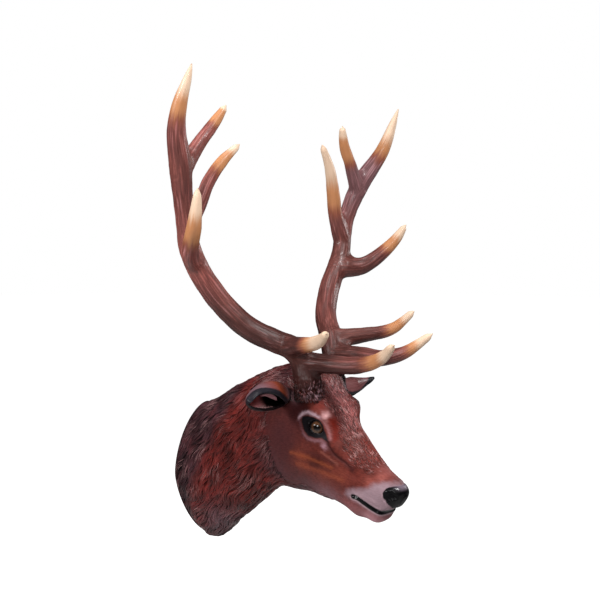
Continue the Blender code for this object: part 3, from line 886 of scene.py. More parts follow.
    def colour(self, points: Array) -> Array:
        """The paint at each point.

        Args:
            points: places on the skin or the locks.

        Returns:
            Linear colours.
        """
        away, forward, height = np.abs(points[..., 0]), -points[..., 1], points[..., 2]
        left = folded(points)
        colour = blend(self.face(points), self.fur(points, forward, height),
                       self.neckness(points)[..., None])
        for spot in self.SPOTS:
            distance = far_from(left, place(spot.side, spot.forward, spot.height))
            share = spot.strength * bell(distance + 0.004 * self.noise.at(points, 0.012), spot.reach)
            colour = painted(colour, spot.colour, np.clip(share, 0.0, 1.0))
        for stroke in self.STREAKS:
            distance, _ = line_distance(plan(points), np.array(stroke.line))
            ragged = distance * (1.0 + 0.35 * self.noise.at(points + 4.0, 0.009))
            share = stroke.strength * bell(ragged, stroke.reach) * ease(*self.STREAKS_FROM, away)
            colour = painted(colour, stroke.colour, share)
        colour = self.lay(colour, points, self.MUZZLE)
        distance, _ = self.mouth(points)
        lip = ease(-0.001, 0.002, -self.above(points, MOUTH_LINE)) * bell(distance - self.LIP_BAND, 0.0026)
        colour = painted(colour, self.LIP_PALE, 0.85 * lip)
        colour = self.lay(colour, points, self.EYE)
        # grey on the top of the nose: grey paint and in part a painted sheen
        grey = ease(0.046, 0.058, height) * ease(0.028, 0.006, away)
        nose = blend(tone(*self.NOSE_BLACK), tone(*self.NOSE_TOP), 0.8 * grey[..., None])
        # painted shade: black round the ear hole
        hole = 1.0 - ease(0.014, 0.024, far_from(left, place(*self.EAR_HOLE)))
        for over, share in ((nose, self.nose(points)), (tone(*self.MOUTH_BLACK), self.mouth_band(points)),
                            (tone(*self.EAR_HOLE_BLACK), hole)):
            colour = blend(colour, over, share[..., None])
        return np.clip(colour, 0.0, 1.0)

    def fur(self, points: Array, forward: Array, height: Array) -> Array:
        """The neck's colour: red on its side, dull at its rear, top and underside, and clouded.

        Args:
            points: the points.
            forward: how far forward they are.
            height: how high they are.

        Returns:
            A colour for each point.
        """
        patchy = 0.5 + 0.5 * self.noise.at(points, 0.055) + 0.25 * self.noise.at(points, 0.02)
        rear = ease(0.035, -0.03, forward - 0.075 - 0.52 * height)
        top = ease(0.05, 0.11, height - 0.13 - 0.35 * forward)
        under = 1.0 - ease(-0.03, 0.06, height + 0.19 - 0.55 * forward)
        dull = np.clip(np.maximum.reduce([rear, top, under]) + 0.5 * (patchy - 0.5), 0.0, 1.0)
        fur = blend(tone(*self.NECK_RED), tone(*self.NECK_DULL), dull[..., None])
        cloud = self.noise.at(points + 2.0, 0.04) + 0.5 * self.noise.at(points + 8.0, 0.018)
        return fur * np.clip(1.0 + 0.6 * cloud, 0.25, 1.8)[..., None]

    def face(self, points: Array) -> Array:
        """The face's ground colour, mottled."""
        mottle = 1.0 + 0.26 * self.noise.at(points + 6.0, 0.02) + 0.26 * self.noise.at(points, 0.008)
        return tone(*self.FACE) * mottle[..., None]

    def lay(self, colour: Array, points: Array, patch: Patch) -> Array:
        """Lays one patch over a colour, with an edge that noise breaks up a little.

        Args:
            colour: the colour of each point so far.
            points: the points.
            patch: the patch.

        Returns:
            The new colour of each point.
        """
        depth = outline_depth(plan(points), np.array(patch.outline))
        depth = depth + 0.15 * patch.soft * self.noise.at(points, 0.01)
        share = ease(-patch.soft / 2.0, patch.soft / 2.0, depth)
        share = share * ease(-0.005, 0.005, np.abs(points[..., 0]))
        return painted(colour, patch.colour, share)

    def gloss(self, points: Array) -> Array:
        """1 where the varnish is wet: nose and lips."""
        top = ease(0.05, 0.06, points[..., 2]) * (1.0 - ease(0.01, 0.028, np.abs(points[..., 0])))
        return np.maximum(self.NOSE_GLOSS * self.nose(points) * (1.0 - 0.5 * top),
                          self.LIP_GLOSS * self.mouth_band(points))


# ---- skin ----


@dataclass(frozen=True)
class Fold:
    """A ridge or a groove carved along a line, the same on both sides."""

    line: tuple[Triple, ...]
    reach: float
    rise: float
    fade: float = 0.15  # share of its length over which each end fades out


@dataclass(frozen=True)
class EyePlace:
    """Where an eye sits, how it is turned and how its lids lie."""

    side: Side
    centre: Triple = (0.0575, 0.46, 0.179)
    radius: float = 0.0215
    outward: Triple = (0.95, 0.27, 0.08)
    gaze: Triple = (0.82, 0.57, 0.03)
    slant: Triple = (0.0, 0.86, -0.5)  # from the rear to the front corner
    rear_reach: float = 0.0188
    front_reach: float = 0.02
    upper_reach: float = 0.016
    lower_reach: float = 0.014

    def turned(self, spot: Triple) -> Array:
        """A place or a direction on this eye's side."""
        return place(self.side.value * spot[0], spot[1], spot[2])

    def axes(self) -> tuple[Array, Array, Array]:
        """Unit axes: along the opening, up across it, and outward."""
        outward = unit(self.turned(self.outward))
        along = self.turned(self.slant)
        along = unit(along - outward * (along @ outward))
        upward = np.cross(outward, along)
        return along, upward * np.sign(upward[2]), outward

    def local(self, points: Array) -> tuple[Array, Array, Array]:
        """Coordinates of points in the eye's axes, from its centre."""
        offset = points - self.turned(self.centre)
        along, upward, outward = self.axes()
        return offset @ along, offset @ upward, offset @ outward

    def scale_at(self, along: Array, upward: Array) -> Array:
        """1 on the lids' edge, less inside the opening and more outside it.

        The opening is an almond: each quarter is |a|^1.7 + |b|^1.7 = 1 over its two reaches.
        """
        a = np.abs(along) / np.where(along > 0.0, self.front_reach, self.rear_reach)
        b = np.abs(upward) / np.where(upward > 0.0, self.upper_reach, self.lower_reach)
        return (a**1.7 + b**1.7) ** (1.0 / 1.7)


class Skin:
    """One skin over neck, head, jaw and nose, with the carving of the face."""

    COAT_DEPTH = 0.0055
    FACE_DEPTH = 0.0006
    CLUMP = 0.003  # how far the coat's clumps stand up
    FOLDS = (
        Fold(((0.067, 0.5, 0.152), (0.068, 0.501, 0.139), (0.064, 0.513, 0.121), (0.059, 0.526, 0.11),
              (0.052, 0.541, 0.1), (0.046, 0.556, 0.086)), 0.0028, -0.0034, 0.2),  # tear groove
        Fold(((0.07, 0.491, 0.128), (0.066, 0.505, 0.108), (0.058, 0.527, 0.094)), 0.0045, 0.0018, 0.3),
        Fold(((0.064, 0.507, 0.16), (0.06, 0.518, 0.14), (0.053, 0.535, 0.118)), 0.004, 0.0014, 0.3),
        Fold(((0.076, 0.425, 0.212), (0.075, 0.452, 0.217), (0.071, 0.478, 0.207), (0.066, 0.494, 0.183)),
             0.0045, 0.003, 0.25),  # soft roll above the eye
        Fold(((0.077, 0.42, 0.203), (0.076, 0.448, 0.21), (0.072, 0.474, 0.201)), 0.0022, -0.0016, 0.3),
        Fold(((0.077, 0.424, 0.166), (0.075, 0.45, 0.147), (0.072, 0.48, 0.143)), 0.005, 0.002, 0.3),
        Fold(((0.076, 0.35, 0.16), (0.073, 0.335, 0.11), (0.062, 0.333, 0.066), (0.042, 0.345, 0.032),
              (0.03, 0.392, 0.016)), 0.015, 0.0034, 0.25),  # edge of the jaw
        Fold(((0.078, 0.328, 0.165), (0.073, 0.315, 0.105), (0.062, 0.316, 0.058), (0.04, 0.326, 0.018),
              (0.022, 0.38, 0.0)), 0.012, -0.0036, 0.25),  # hollow behind it
        Fold(((0.038, 0.47, 0.018), (0.041, 0.52, 0.012), (0.041, 0.55, 0.004)), 0.005, -0.0016, 0.3),
        Fold(((0.06, 0.47, 0.06), (0.054, 0.515, 0.052), (0.047, 0.552, 0.04)), 0.008, 0.0016, 0.3),
        Fold(((0.062, 0.5, 0.11), (0.052, 0.545, 0.078), (0.044, 0.59, 0.062)), 0.006, -0.0014, 0.3),
        Fold(((0.046, 0.556, 0.034), (0.043, 0.585, 0.027), (0.04, 0.612, 0.018), (0.034, 0.636, 0.011)),
             0.0045, 0.0014, 0.25),  # upper lip
        Fold(((0.044, 0.56, 0.01), (0.041, 0.59, 0.001), (0.036, 0.62, -0.009), (0.022, 0.643, -0.014),
              (0.0, 0.65, -0.016)), 0.0045, 0.0018, 0.2),  # lower lip
        Fold(((0.048, 0.548, 0.034), (0.048, 0.546, 0.02), (0.045, 0.552, 0.006)), 0.004, 0.0014, 0.3),
        Fold(((0.0, 0.47, 0.25), (0.0, 0.52, 0.19), (0.0, 0.56, 0.145)), 0.009, -0.0016, 0.3),
        Fold(((0.034, 0.5, 0.228), (0.034, 0.54, 0.168), (0.03, 0.59, 0.112)), 0.008, 0.0014, 0.3),
    )
    NOSTRIL_LINE = ((0.0375, 0.65, 0.029), (0.0368, 0.653, 0.035), (0.0325, 0.66, 0.0385),
                    (0.0275, 0.666, 0.036))
    NOSE_WING = (0.0345, 0.656, 0.04)
    NOSTRIL_DEPTH = 0.005
    NOSTRIL_WAY = (0.85, 0.52)  # inward and back
    SLIT_DEPTH = 0.0042  # between the lips
    LIP_TUCK = 0.015
    EAR_HOLE, EAR_HOLE_DEPTH = (0.076, 0.372, 0.25), 0.012
    SOCKET_DEPTH = 0.026
    EYE_BLACK = (12, 9, 12)
    FACE_START = 0.36  # metres along the hair where the painted strokes become shorter
    BACK_SHARES = (0.35, 0.75, 0.97)  # rings that close the flat back
    TIP_TURNS, TIP_ROUND = (0.35, 0.75, 1.15), 0.0035  # rings that round off the nose

    def __init__(self, form: BodyForm, markings: Markings, noise: Noise, eyes: list[EyePlace]) -> None:
        """Keeps what the skin is made from."""
        self.form, self.markings, self.noise, self.eyes = form, markings, noise, eyes
        self.lid_shapes: dict[Side, Array] = {}

    def carve(self) -> Array:
        """Moves the form's points inwards by the coat's depth and carves the face.

        Returns:
            The skin's grid of points.
        """
        form = self.form
        depth = self.coat_depth(form, self.noise)
        depth[0] = 0.0
        points = form.points - form.normals * depth[..., None]
        for step in (self.fold, self.cut_mouth, self.tuck_lips, self.cut_nostrils, self.open_ears):
            points = step(points)
        for eye in self.eyes:
            points = self.open_eye(points, eye)
        return self.roughen(points, Markings.neckness(form.points))

    @classmethod
    def coat_depth(cls, form: BodyForm, noise: Noise) -> Array:
        """How deep the skin lies below the form: more on the neck, where the coat also clumps."""
        neck = Markings.neckness(form.points, 0.07)
        clumps = noise.at(np.abs(form.strands()) * np.array([1.0 / 0.085, 1.0 / 0.021, 1.0]) + 3.0)
        return blend(cls.FACE_DEPTH, cls.COAT_DEPTH, neck) - cls.CLUMP * neck * clumps

    def fold(self, points: Array) -> Array:
        """Carves the ridges and grooves, each a bell across its line.

        Args:
            points: the skin's grid.

        Returns:
            The moved grid.
        """
        rise = np.zeros(points.shape[:2])
        for fold in self.FOLDS:
            line = np.array([place(*spot) for spot in fold.line])
            distance, share = line_distance(folded(points), line)
            ends = ease(0.0, fold.fade, share) * ease(1.0, 1.0 - fold.fade, share)
            rise += fold.rise * bell(distance, fold.reach) * ends
        return points + grid_normals(points) * rise[..., None]

    def cut_mouth(self, points: Array) -> Array:
        """Sinks the black line between the lips and rounds the lips over it.

        Args:
            points: the skin's grid.

        Returns:
            The moved grid.
        """
        distance, share = self.markings.mouth(points)
        above = Markings.above(points, MOUTH_LINE)
        ahead = ease(0.546, 0.554, -points[..., 1])
        cut = bell(above - 0.0016, 0.0017) * bell(np.maximum(distance - 0.003, 0.0), 0.0012) * ahead
        upper = bell(distance - Markings.LIP_BAND - 0.0012, 0.0022) * (above > 0.0)
        lower = bell(above + 0.0032, 0.002) * bell(distance, 0.0045)
        rise = (0.0014 * upper + 0.001 * lower) * ahead * ease(0.0, 0.12, share) - self.SLIT_DEPTH * cut
        return points + grid_normals(points) * rise[..., None]

    def nostril(self, points: Array) -> tuple[Array, Array]:
        """Distance to the nostril's comma and the comma's half width there."""
        line = np.array([place(*spot) for spot in self.NOSTRIL_LINE])
        distance, share = line_distance(folded(points), line)
        return distance, blend(0.0034, 0.0056, ease(0.05, 0.45, share) * ease(1.0, 0.65, share))

    def cut_nostrils(self, points: Array) -> Array:
        """Presses in the comma-shaped nostrils, raises their rims and parts the nose below.

        Args:
            points: the skin's grid.

        Returns:
            The moved grid.
        """
        distance, half = self.nostril(points)
        height = points[..., 2]
        wing = bell(far_from(folded(points), place(*self.NOSE_WING)), 0.0105)
        edge = bell(outline_depth(plan(points), np.array(NOSE_OUTLINE)) + 0.001, 0.0016)
        cleft = (bell(np.abs(points[..., 0]), 0.0012) * ease(0.012, 0.02, height)
                 * ease(0.046, 0.034, height) * ease(0.66, 0.668, -points[..., 1]))
        rise = 0.003 * wing - 0.0012 * edge + 0.0007 * bell(distance - half * 2.2, 0.0024) - 0.0018 * cleft
        side, back = self.NOSTRIL_WAY
        inward = np.stack([-side * np.sign(points[..., 0]), np.full(height.shape, back),
                           np.zeros(height.shape)], axis=-1)
        pit = self.NOSTRIL_DEPTH * bell(distance, half * 1.25)
        return points + grid_normals(points) * rise[..., None] + inward * pit[..., None]

    def tuck_lips(self, points: Array) -> Array:
        """Draws the front of the lips back under the nose."""
        height = points[..., 2]
        front = ease(0.618, 0.655, -points[..., 1])
        moved = points.copy()
        moved[..., 1] += self.LIP_TUCK * front * ease(0.008, -0.004, height) * ease(-0.04, -0.014, height)
        return moved

    def open_ears(self, points: Array) -> Array:
        """Sinks the ear holes into the sides of the head."""
        distance = far_from(folded(points), place(*self.EAR_HOLE))
        moved = points.copy()
        moved[..., 0] -= np.sign(points[..., 0]) * self.EAR_HOLE_DEPTH * (1.0 - ease(0.006, 0.014, distance))
        return moved

    def open_eye(self, points: Array, eye: EyePlace) -> Array:
        """Opens the socket: outside the lids the skin follows a quadric, inside it drops away.

        The quadric r = c . (1, a, b, a^2, ab, b^2) is fitted to the skin round the lids, so that
        the lids, which use it too, meet the skin.

        Args:
            points: the skin's grid.
            eye: where the eye sits.

        Returns:
            The moved grid.
        """
        a, b, r = eye.local(points)
        scale = eye.scale_at(a, b)
        near = (r > 0.0) & (np.abs(points[..., 0]) > 0.03) & (np.sign(points[..., 0]) == eye.side.value)
        ring = near & (scale > 1.25) & (scale < 2.1)
        terms = self.quadric_terms(a, b)
        shape, *_ = np.linalg.lstsq(terms[ring], r[ring], rcond=None)
        self.lid_shapes[eye.side] = shape
        target = blend(r, terms @ shape, near * (1.0 - ease(1.5, 2.1, scale)))
        drop = self.SOCKET_DEPTH * (1.0 - ease(0.86, 1.1, scale)) * near
        _, _, outward = eye.axes()
        return points + outward * (target - r - drop)[..., None]

    @staticmethod
    def quadric_terms(a: Array, b: Array) -> Array:
        """The six terms of a quadric height field."""
        return np.stack([np.ones_like(a), a, b, a * a, a * b, b * b], axis=-1)

    def roughen(self, points: Array, neck: Array) -> Array:
        """Adds shallow carved hair under the locks and faint modelling on the face.

        Args:
            points: the skin's grid.
            neck: 1 on the neck, 0 on the face.

        Returns:
            The moved grid.
        """
        strand = self.form.strands()
        warp = self.noise.at(points, 0.05)[..., None] * np.array([0.0, 0.006, 0.0])
        lanes = self.noise.at((strand + warp) * np.array([1.0 / 0.03, 1.0 / 0.0035, 1.0]))
        soft = self.noise.at(points, 0.018)
        rise = (0.0012 * neck + 0.0005 * self.forehead(points)) * lanes + 0.00035 * (1.0 - neck) * soft
        nose = self.markings.nose(points)
        smooth = np.maximum(nose, self.markings.mouth_band(points))
        rise = rise * (1.0 - smooth) + 0.00025 * self.noise.at(points, 0.0022) * nose
        rise[0] = 0.0
        return points + grid_normals(points) * rise[..., None]

    @staticmethod
    def forehead(points: Array) -> Array:
        """1 on the carved curls of forehead and bridge."""
        along = ease(0.405, 0.435, -points[..., 1]) * ease(0.628, 0.585, -points[..., 1])
        return (along * ease(-0.01, 0.01, Markings.above(points, CURL_LINE))
                * ease(0.068, 0.06, np.abs(points[..., 0])))

    def build(self, material: bpy.types.Material) -> bpy.types.Object:
        """Makes the skin, closed by a flat back and a rounded nose tip.

        Args:
            material: the finish.

        Returns:
            The piece.
        """
        grid = self.carve()
        grid[0, :, 1] = 0.0
        hub, middle = grid[0].mean(axis=0), grid[-1].mean(axis=0)
        back = [blend(hub, grid[0], share) for share in self.BACK_SHARES]
        ahead = unit(middle - grid[-6].mean(axis=0))
        front = [blend(grid[-1], middle, 1.0 - math.cos(turn)) + self.TIP_ROUND * math.sin(turn) * ahead
                 for turn in self.TIP_TURNS]
        stack = np.stack([*back, *grid, *front])
        rows, columns = stack.shape[:2]
        points = np.vstack([stack.reshape(-1, 3), hub, middle + (self.TIP_ROUND + 0.0002) * ahead])
        strand = self.form.strands()
        strand = np.concatenate([np.repeat(strand[:1], len(back), 0), strand,
                                 np.repeat(strand[-1:], len(front), 0)])
        strand = np.vstack([strand.reshape(-1, 3), strand[0, 0], strand[-1, 0]])
        strand[:, 0] += 1.2 * np.maximum(strand[:, 0] - self.FACE_START, 0.0)
        uv = np.vstack([grid_uv(rows, columns).reshape(-1, 2), [0.5, 0.0], [0.5, 1.0]])
        gloss, calm = self.varnish(points)
        carve = 0.3 + 0.25 * self.forehead(points)
        sheet = Sheet(points, tube_faces(rows, columns), self.paint(points), gloss, strand, carve, uv, calm)
        return sheet.to_object("skin", material)

    def paint(self, points: Array) -> Array:
        """The markings, with painted shade under the locks and the forehead curls, and black round the eyes.

        Args:
            points: the skin's points.

        Returns:
            A colour for each point.
        """
        colour = self.markings.colour(points)
        colour[-2] = colour[0]
        # painted shade on the skin in the gaps under the locks and the curls
        under = Markings.neckness(points) * ease(0.45, 0.95, Fur.size_at(points))
        dark = np.maximum(0.6 * under, 0.45 * self.forehead(points))
        colour = colour * (1.0 - dark[:, None])
        for eye in self.eyes:
            a, b, r = eye.local(points)
            near = (r > -0.01) & (np.sign(points[:, 0]) == eye.side.value)
            black = near * (1.0 - ease(1.2, 1.34, eye.scale_at(a, b)))
            colour = painted(colour, self.EYE_BLACK, black)
        return colour

    def varnish(self, points: Array) -> tuple[Array, Array]:
        """Where the varnish is wet, less in the nostrils, and where the paint is smooth.

        Args:
            points: the skin's points.

        Returns:
            Gloss and smoothness for each point.
        """
        distance, half = self.nostril(points)
        gloss = self.markings.gloss(points)
        pale = ease(-0.006, 0.006, outline_depth(plan(points), np.array(MUZZLE_PALE)))
        chin = ease(0.56, 0.59, -points[:, 1]) * ease(0.015, 0.0, points[:, 2])
        calm = np.clip(np.maximum(8.0 * gloss, 0.6 * np.maximum(pale, chin)), 0.0, 1.0)
        return gloss * (1.0 - 0.97 * bell(distance, half * 1.7)), calm


# ---- locks ----


class Surface:
    """Reads a grid of closed rings at any row and column, by blending four neighbours."""

    def __init__(self, points: Array) -> None:
        """Keeps the grid, its normals and its slopes."""
        self.points = points
        self.normals = grid_normals(points)
        self.row_slope = np.gradient(points, axis=0)
        self.column_slope = (np.roll(points, -1, axis=1) - np.roll(points, 1, axis=1)) / 2.0
        self.rows, self.columns = points.shape[:2]

    def read(self, field_: Array, row: Array, column: Array) -> Array:
        """One field of the grid at rows and columns that needn't be whole.

        Args:
            field_: the field.
            row: rows.
            column: columns.

        Returns:
            The field's value at each place.
        """
        row = np.clip(row, 0.0, self.rows - 1.001)
        low, left = np.floor(row).astype(int), np.floor(column).astype(int)
        u, v = (row - low)[:, None], (column - left)[:, None]
        left, right = left % self.columns, (left + 1) % self.columns
        return ((field_[low, left] * (1 - v) + field_[low, right] * v) * (1 - u)
                + (field_[low + 1, left] * (1 - v) + field_[low + 1, right] * v) * u)

    def step(self, row: Array, column: Array, move: Array) -> tuple[Array, Array]:
        """Rows and columns after a move along the surface.

        The move is split over the two slopes by solving their two-by-two system.

        Args:
            row: rows before the move.
            column: columns before it.
            move: the moves.

        Returns:
            Rows and columns after it.
        """
        a, b = self.read(self.row_slope, row, column), self.read(self.column_slope, row, column)
        aa, ab, bb = np.sum(a * a, -1), np.sum(a * b, -1), np.sum(b * b, -1)
        am, bm = np.sum(a * move, -1), np.sum(b * move, -1)
        scale = np.maximum(aa * bb - ab * ab, 1e-16)
        return row + (am * bb - bm * ab) / scale, column + (bm * aa - am * ab) / scale

    def scatter(self, weight: Array, count: int, rng: np.random.Generator) -> tuple[Array, Array]:
        """Random places, as dense as a weight for each grid point says.

        Args:
            weight: how densely to scatter, by area.
            count: how many places.
            rng: the seeded generator.

        Returns:
            Rows and columns.
        """
        area = np.linalg.norm(np.cross(self.row_slope, self.column_slope), axis=-1) * weight
        total = np.cumsum(area.ravel())
        picks = (np.arange(count) + rng.random(count)) / count * total[-1]
        index = np.searchsorted(total, picks)
        return index // self.columns + rng.random(count), index % self.columns + rng.random(count)


@dataclass(frozen=True)
class LockStyle:
    """The size and curl of one kind of carved lock."""

    length: tuple[float, float]
    width: tuple[float, float]
    crown: float  # how high its middle stands above its edges
    lift: tuple[float, float]  # how high its tip lies above the skin
    root_depth: float
    curl: float  # sideways swing as a share of the length
    stray: float  # random turn of each lock, in radians
    ridges: int
    rings: int
    strand_depth: float
    # painted shade: how dark a lock's root is, where it lies under the lock above
    dark_root: float = 0.5
    # pale dry brush on the ridges, in part painted glints
    light: float = 0.9
    tint: float = 0.3  # how much the locks differ in brightness
    always_light: float = 0.0  # least dry brush and painted glint; more of it comes in patches
    patch: float = 0.045  # size of those patches


class Coat:
    """Carved locks laid over the skin, overlapping along the lie of the hair."""

    # outward, back and up: the neck's side, nape and throat, then the brow and the jaw
    WAYS = ((0.0, 0.6, -0.8), (0.32, 0.9, -0.3), (-0.05, 0.9, -0.3), (0.15, 0.62, 0.78),
            (0.0, 0.99, -0.1))
    UNDER = 0.6  # how wide the hidden underside is, as a share of the lock
    WALL_GAP = 0.003  # how near the wall the locks start to be pressed flat

    def __init__(self, surface: Surface, markings: Markings, noise: Noise, seed: int) -> None:
        """Keeps the surface that the locks lie on."""
        self.surface, self.markings, self.noise = surface, markings, noise
        self.rng = np.random.default_rng(seed)

    def flow(self, points: Array, normals: Array) -> Array:
        """The lie of the coat: back and down the neck, and back along the face.

        Args:
            points: places on the surface.
            normals: the surface's normals there.

        Returns:
            Unit directions along the surface.
        """
        side = np.sign(points[:, 0])
        neck = Markings.neckness(points)
        base, nape, throat, brow, jaw = (
            np.stack([across * side, np.full(len(side), back), np.full(len(side), rise)], -1)
            for across, back, rise in self.WAYS)
        up, down = ease(0.3, 0.85, normals[:, 2]), ease(0.45, 0.9, -normals[:, 2])
        way = blend(blend(base, nape, up[:, None]), throat, down[:, None])
        low = 1.0 - ease(0.05, 0.12, points[:, 2])
        way = blend(blend(brow, jaw, low[:, None]), way, neck[:, None])
        turn = neck * (0.6 * self.noise.at(points, 0.08) + 0.38 * self.noise.at(points + 5.0, 0.036))
        turn = turn + (1.0 - neck) * 0.45 * self.noise.at(points + 9.0, 0.022)
        return turned_about(normals, laid_along(way, normals), turn)

    def colour(self, points: Array) -> Array:
        """The hair's colour at a place."""
        return self.markings.colour(points)

    def walk(self, rows: Array, columns: Array, length: Array, waves: Array) -> list[Array]:
        """Walks along the surface from each root, by the lie of the hair.

        Args:
            rows: the roots' rows on the surface.
            columns: the roots' columns.
            length: each path's length.
            waves: for each step, how far each path turns from the lie of the hair.

        Returns:
            The paths' points, ways and normals.
        """
        row, column = rows.astype(float), columns.astype(float)
        passed = []
        for wave in waves:
            here = self.surface.read(self.surface.points, row, column)
            normal = unit(self.surface.read(self.surface.normals, row, column))
            way = turned_about(normal, self.flow(here, normal), wave)
            passed.append((here, way, normal))
            row, column = self.surface.step(row, column, way * (length / (len(waves) - 1))[:, None])
        return [np.stack(item, axis=1) for item in zip(*passed)]

    def build(self, name: str, style: LockStyle, rows: Array, columns: Array,
              material: bpy.types.Material, scale: Array | float = 1.0) -> bpy.types.Object:
        """Makes one piece of many locks.

        A lock is a ring profile carried along a path on the surface. Its width grows from the
        root and runs out to a point, w(s) = W (0.35 + 0.65 ease(s)) (1 - s^2)^0.8. Its back has
        strand ridges that fade at its ends, and its edges and root are sunk into the skin. The
        path swings like a cosine along the lock.

        Args:
            name: the piece's name.
            style: the kind of lock.
            rows: the roots' rows on the surface.
            columns: the roots' columns.
            material: the finish.
            scale: each lock's size.

        Returns:
            The piece.
        """
        count, rings = len(rows), style.rings
        rng = self.rng
        scale = np.broadcast_to(scale, (count,))
        length = rng.uniform(*style.length, count) * scale
        width = rng.uniform(*style.width, count) / 2.0 * scale**0.7
        lift = rng.uniform(*style.lift, count) * scale
        root = self.surface.read(self.surface.points, rows, columns)
        clump = np.clip(1.6 * self.noise.at(root + 3.0, 0.06), -1.0, 1.0)
        swing = style.curl * (0.75 * clump + 0.35 * rng.uniform(-1.0, 1.0, count))
        phase = 0.8 * self.noise.at(root + 6.0, 0.05) + rng.uniform(-0.3, 0.3, count)
        stray = rng.normal(0.0, style.stray, count)
        share = np.linspace(0.0, 1.0, rings)
        waves = stray + WRAP * swing * np.cos(WRAP * share[:, None] * 0.85 + phase)
        centre, forward, normal = self.walk(rows, columns, length, waves)
        across = unit(np.cross(normal, forward))
        top = 2 * style.ridges + 1
        line = np.linspace(-1.0, 1.0, top)
        u = np.concatenate([line, [self.UNDER, -self.UNDER]])
        arch = np.concatenate([1.0 - line**2, [0.0, 0.0]])
        ridge = np.concatenate([np.arange(top) % 2, [0.0, 0.0]])
        under = np.concatenate([np.zeros(top), [1.0, 1.0]])
        s = share[None, :, None]
        spread = width[:, None, None] * (0.35 + 0.65 * ease(0.0, 0.35, s)) * (1.0 - 0.985 * s**2) ** 0.8
        relative = spread / width[:, None, None]
        size = scale[:, None, None]
        rise = -style.root_depth + (style.root_depth + lift[:, None, None]) * ease(0.0, 0.75, s)
        rise = rise - 0.5 * lift[:, None, None] * ease(0.8, 1.0, s)
        strands = style.strand_depth * ridge * ease(0.0, 0.15, s) * relative
        height = rise + relative * style.crown * arch * size + strands * size
        height = height - under * (0.0008 + 0.0014 * relative) - (np.abs(u) > 0.99) * 0.0009 * relative
        points = (centre[:, :, None] + across[:, :, None] * (spread * u)[..., None]
                  + normal[:, :, None] * height[..., None])
        return self.finish(name, style, points, ridge, under, u, s, (rows, columns), material)

    def finish(self, name: str, style: LockStyle, points: Array, ridge: Array, under: Array, u: Array,
               s: Array, roots: tuple[Array, Array], material: bpy.types.Material) -> bpy.types.Object:
        """Faces, paint and coordinates of a piece of locks, which are pressed flat at the wall, with painted
        shade at their roots, edges and undersides.

        Args:
            name: the piece's name.
            style: the kind of lock.
            points: the locks' points, by lock, ring and place round the ring.
            ridge: 1 on the ring's strand ridges.
            under: 1 on the ring's hidden underside.
            u: each ring point's place across the lock.
            s: each ring's share of the way to the tip.
            roots: the roots' rows and columns.
            material: the finish.

        Returns:
            The piece.
        """
        count, rings, around = points.shape[:3]
        past = np.maximum(points[..., 1] + self.WALL_GAP, 0.0)
        points[..., 1] -= past - self.WALL_GAP * (1.0 - np.exp(-past / self.WALL_GAP))
        first = (np.arange(count) * rings * around)[:, None, None]
        quads = (grid_faces(rings, around)[None] + first).reshape(-1, 4)[:, ::-1]
        root_caps = np.arange(around) + first[:, 0]
        tip_caps = root_caps[:, ::-1] + (rings - 1) * around
        base = self.colour(points.mean(axis=2).reshape(-1, 3)).reshape(count, rings, 1, 3)
        tint = self.rng.uniform(1.0 - style.tint, 1.0 + style.tint, (count, 1, 1, 1))
        warm = self.rng.uniform(-0.08, 0.08, (count, 1, 1, 1)) * np.array([1.0, -0.6, -0.9])
        # dark wash in the strand grooves, with painted shade along the edges and on the hidden underside
        groove = np.where(ridge > 0.5, 1.2, 0.7) * np.where(np.abs(u) > 0.99, 0.45, 1.0)
        groove = groove * (1.0 - 0.6 * under)
        # painted shade at the root, lighter towards the tip
        along = blend(style.dark_root, 1.12, ease(0.05, 0.8, s))
        colour = base * tint * (1.0 + warm) * (groove * along)[..., None]
        # pale dry brush on the ridges in patches, which stand in part for painted glints
        clouds = self.noise.at(points[:, :1].mean(axis=2) + 1.0, style.patch)
        patchy = np.maximum(ease(-0.1, 0.55, clouds), style.always_light)[..., None]
        carve = ridge * style.light * patchy * (0.35 + 0.65 * ease(0.1, 0.6, s))
        seeds = self.rng.uniform(0.0, 4.0, (count, 1, 1))
        width = np.linalg.norm(points[:, :, 0] - points[:, :, 2 * style.ridges], axis=-1)
        strand = np.stack(np.broadcast_arrays(
            s * np.mean(style.length) + seeds, u * width.max(axis=1)[:, None, None] / 2.0, seeds), axis=-1)
        root_uv = np.stack([(roots[1] % self.surface.columns) / self.surface.columns,
                            roots[0] / self.surface.rows], axis=-1)
        patch = np.stack(np.broadcast_arrays((u + 1.0) / 2.0, s), axis=-1) * 0.003
        uv = (root_uv[:, None, None] + patch).reshape(-1, 2)
        sheet = Sheet(points.reshape(-1, 3), [quads, root_caps, tip_caps], colour.reshape(-1, 3), 0.0,
                      strand.reshape(-1, 3), np.broadcast_to(carve, points.shape[:3]).reshape(-1), uv)
        return sheet.to_object(name, material)


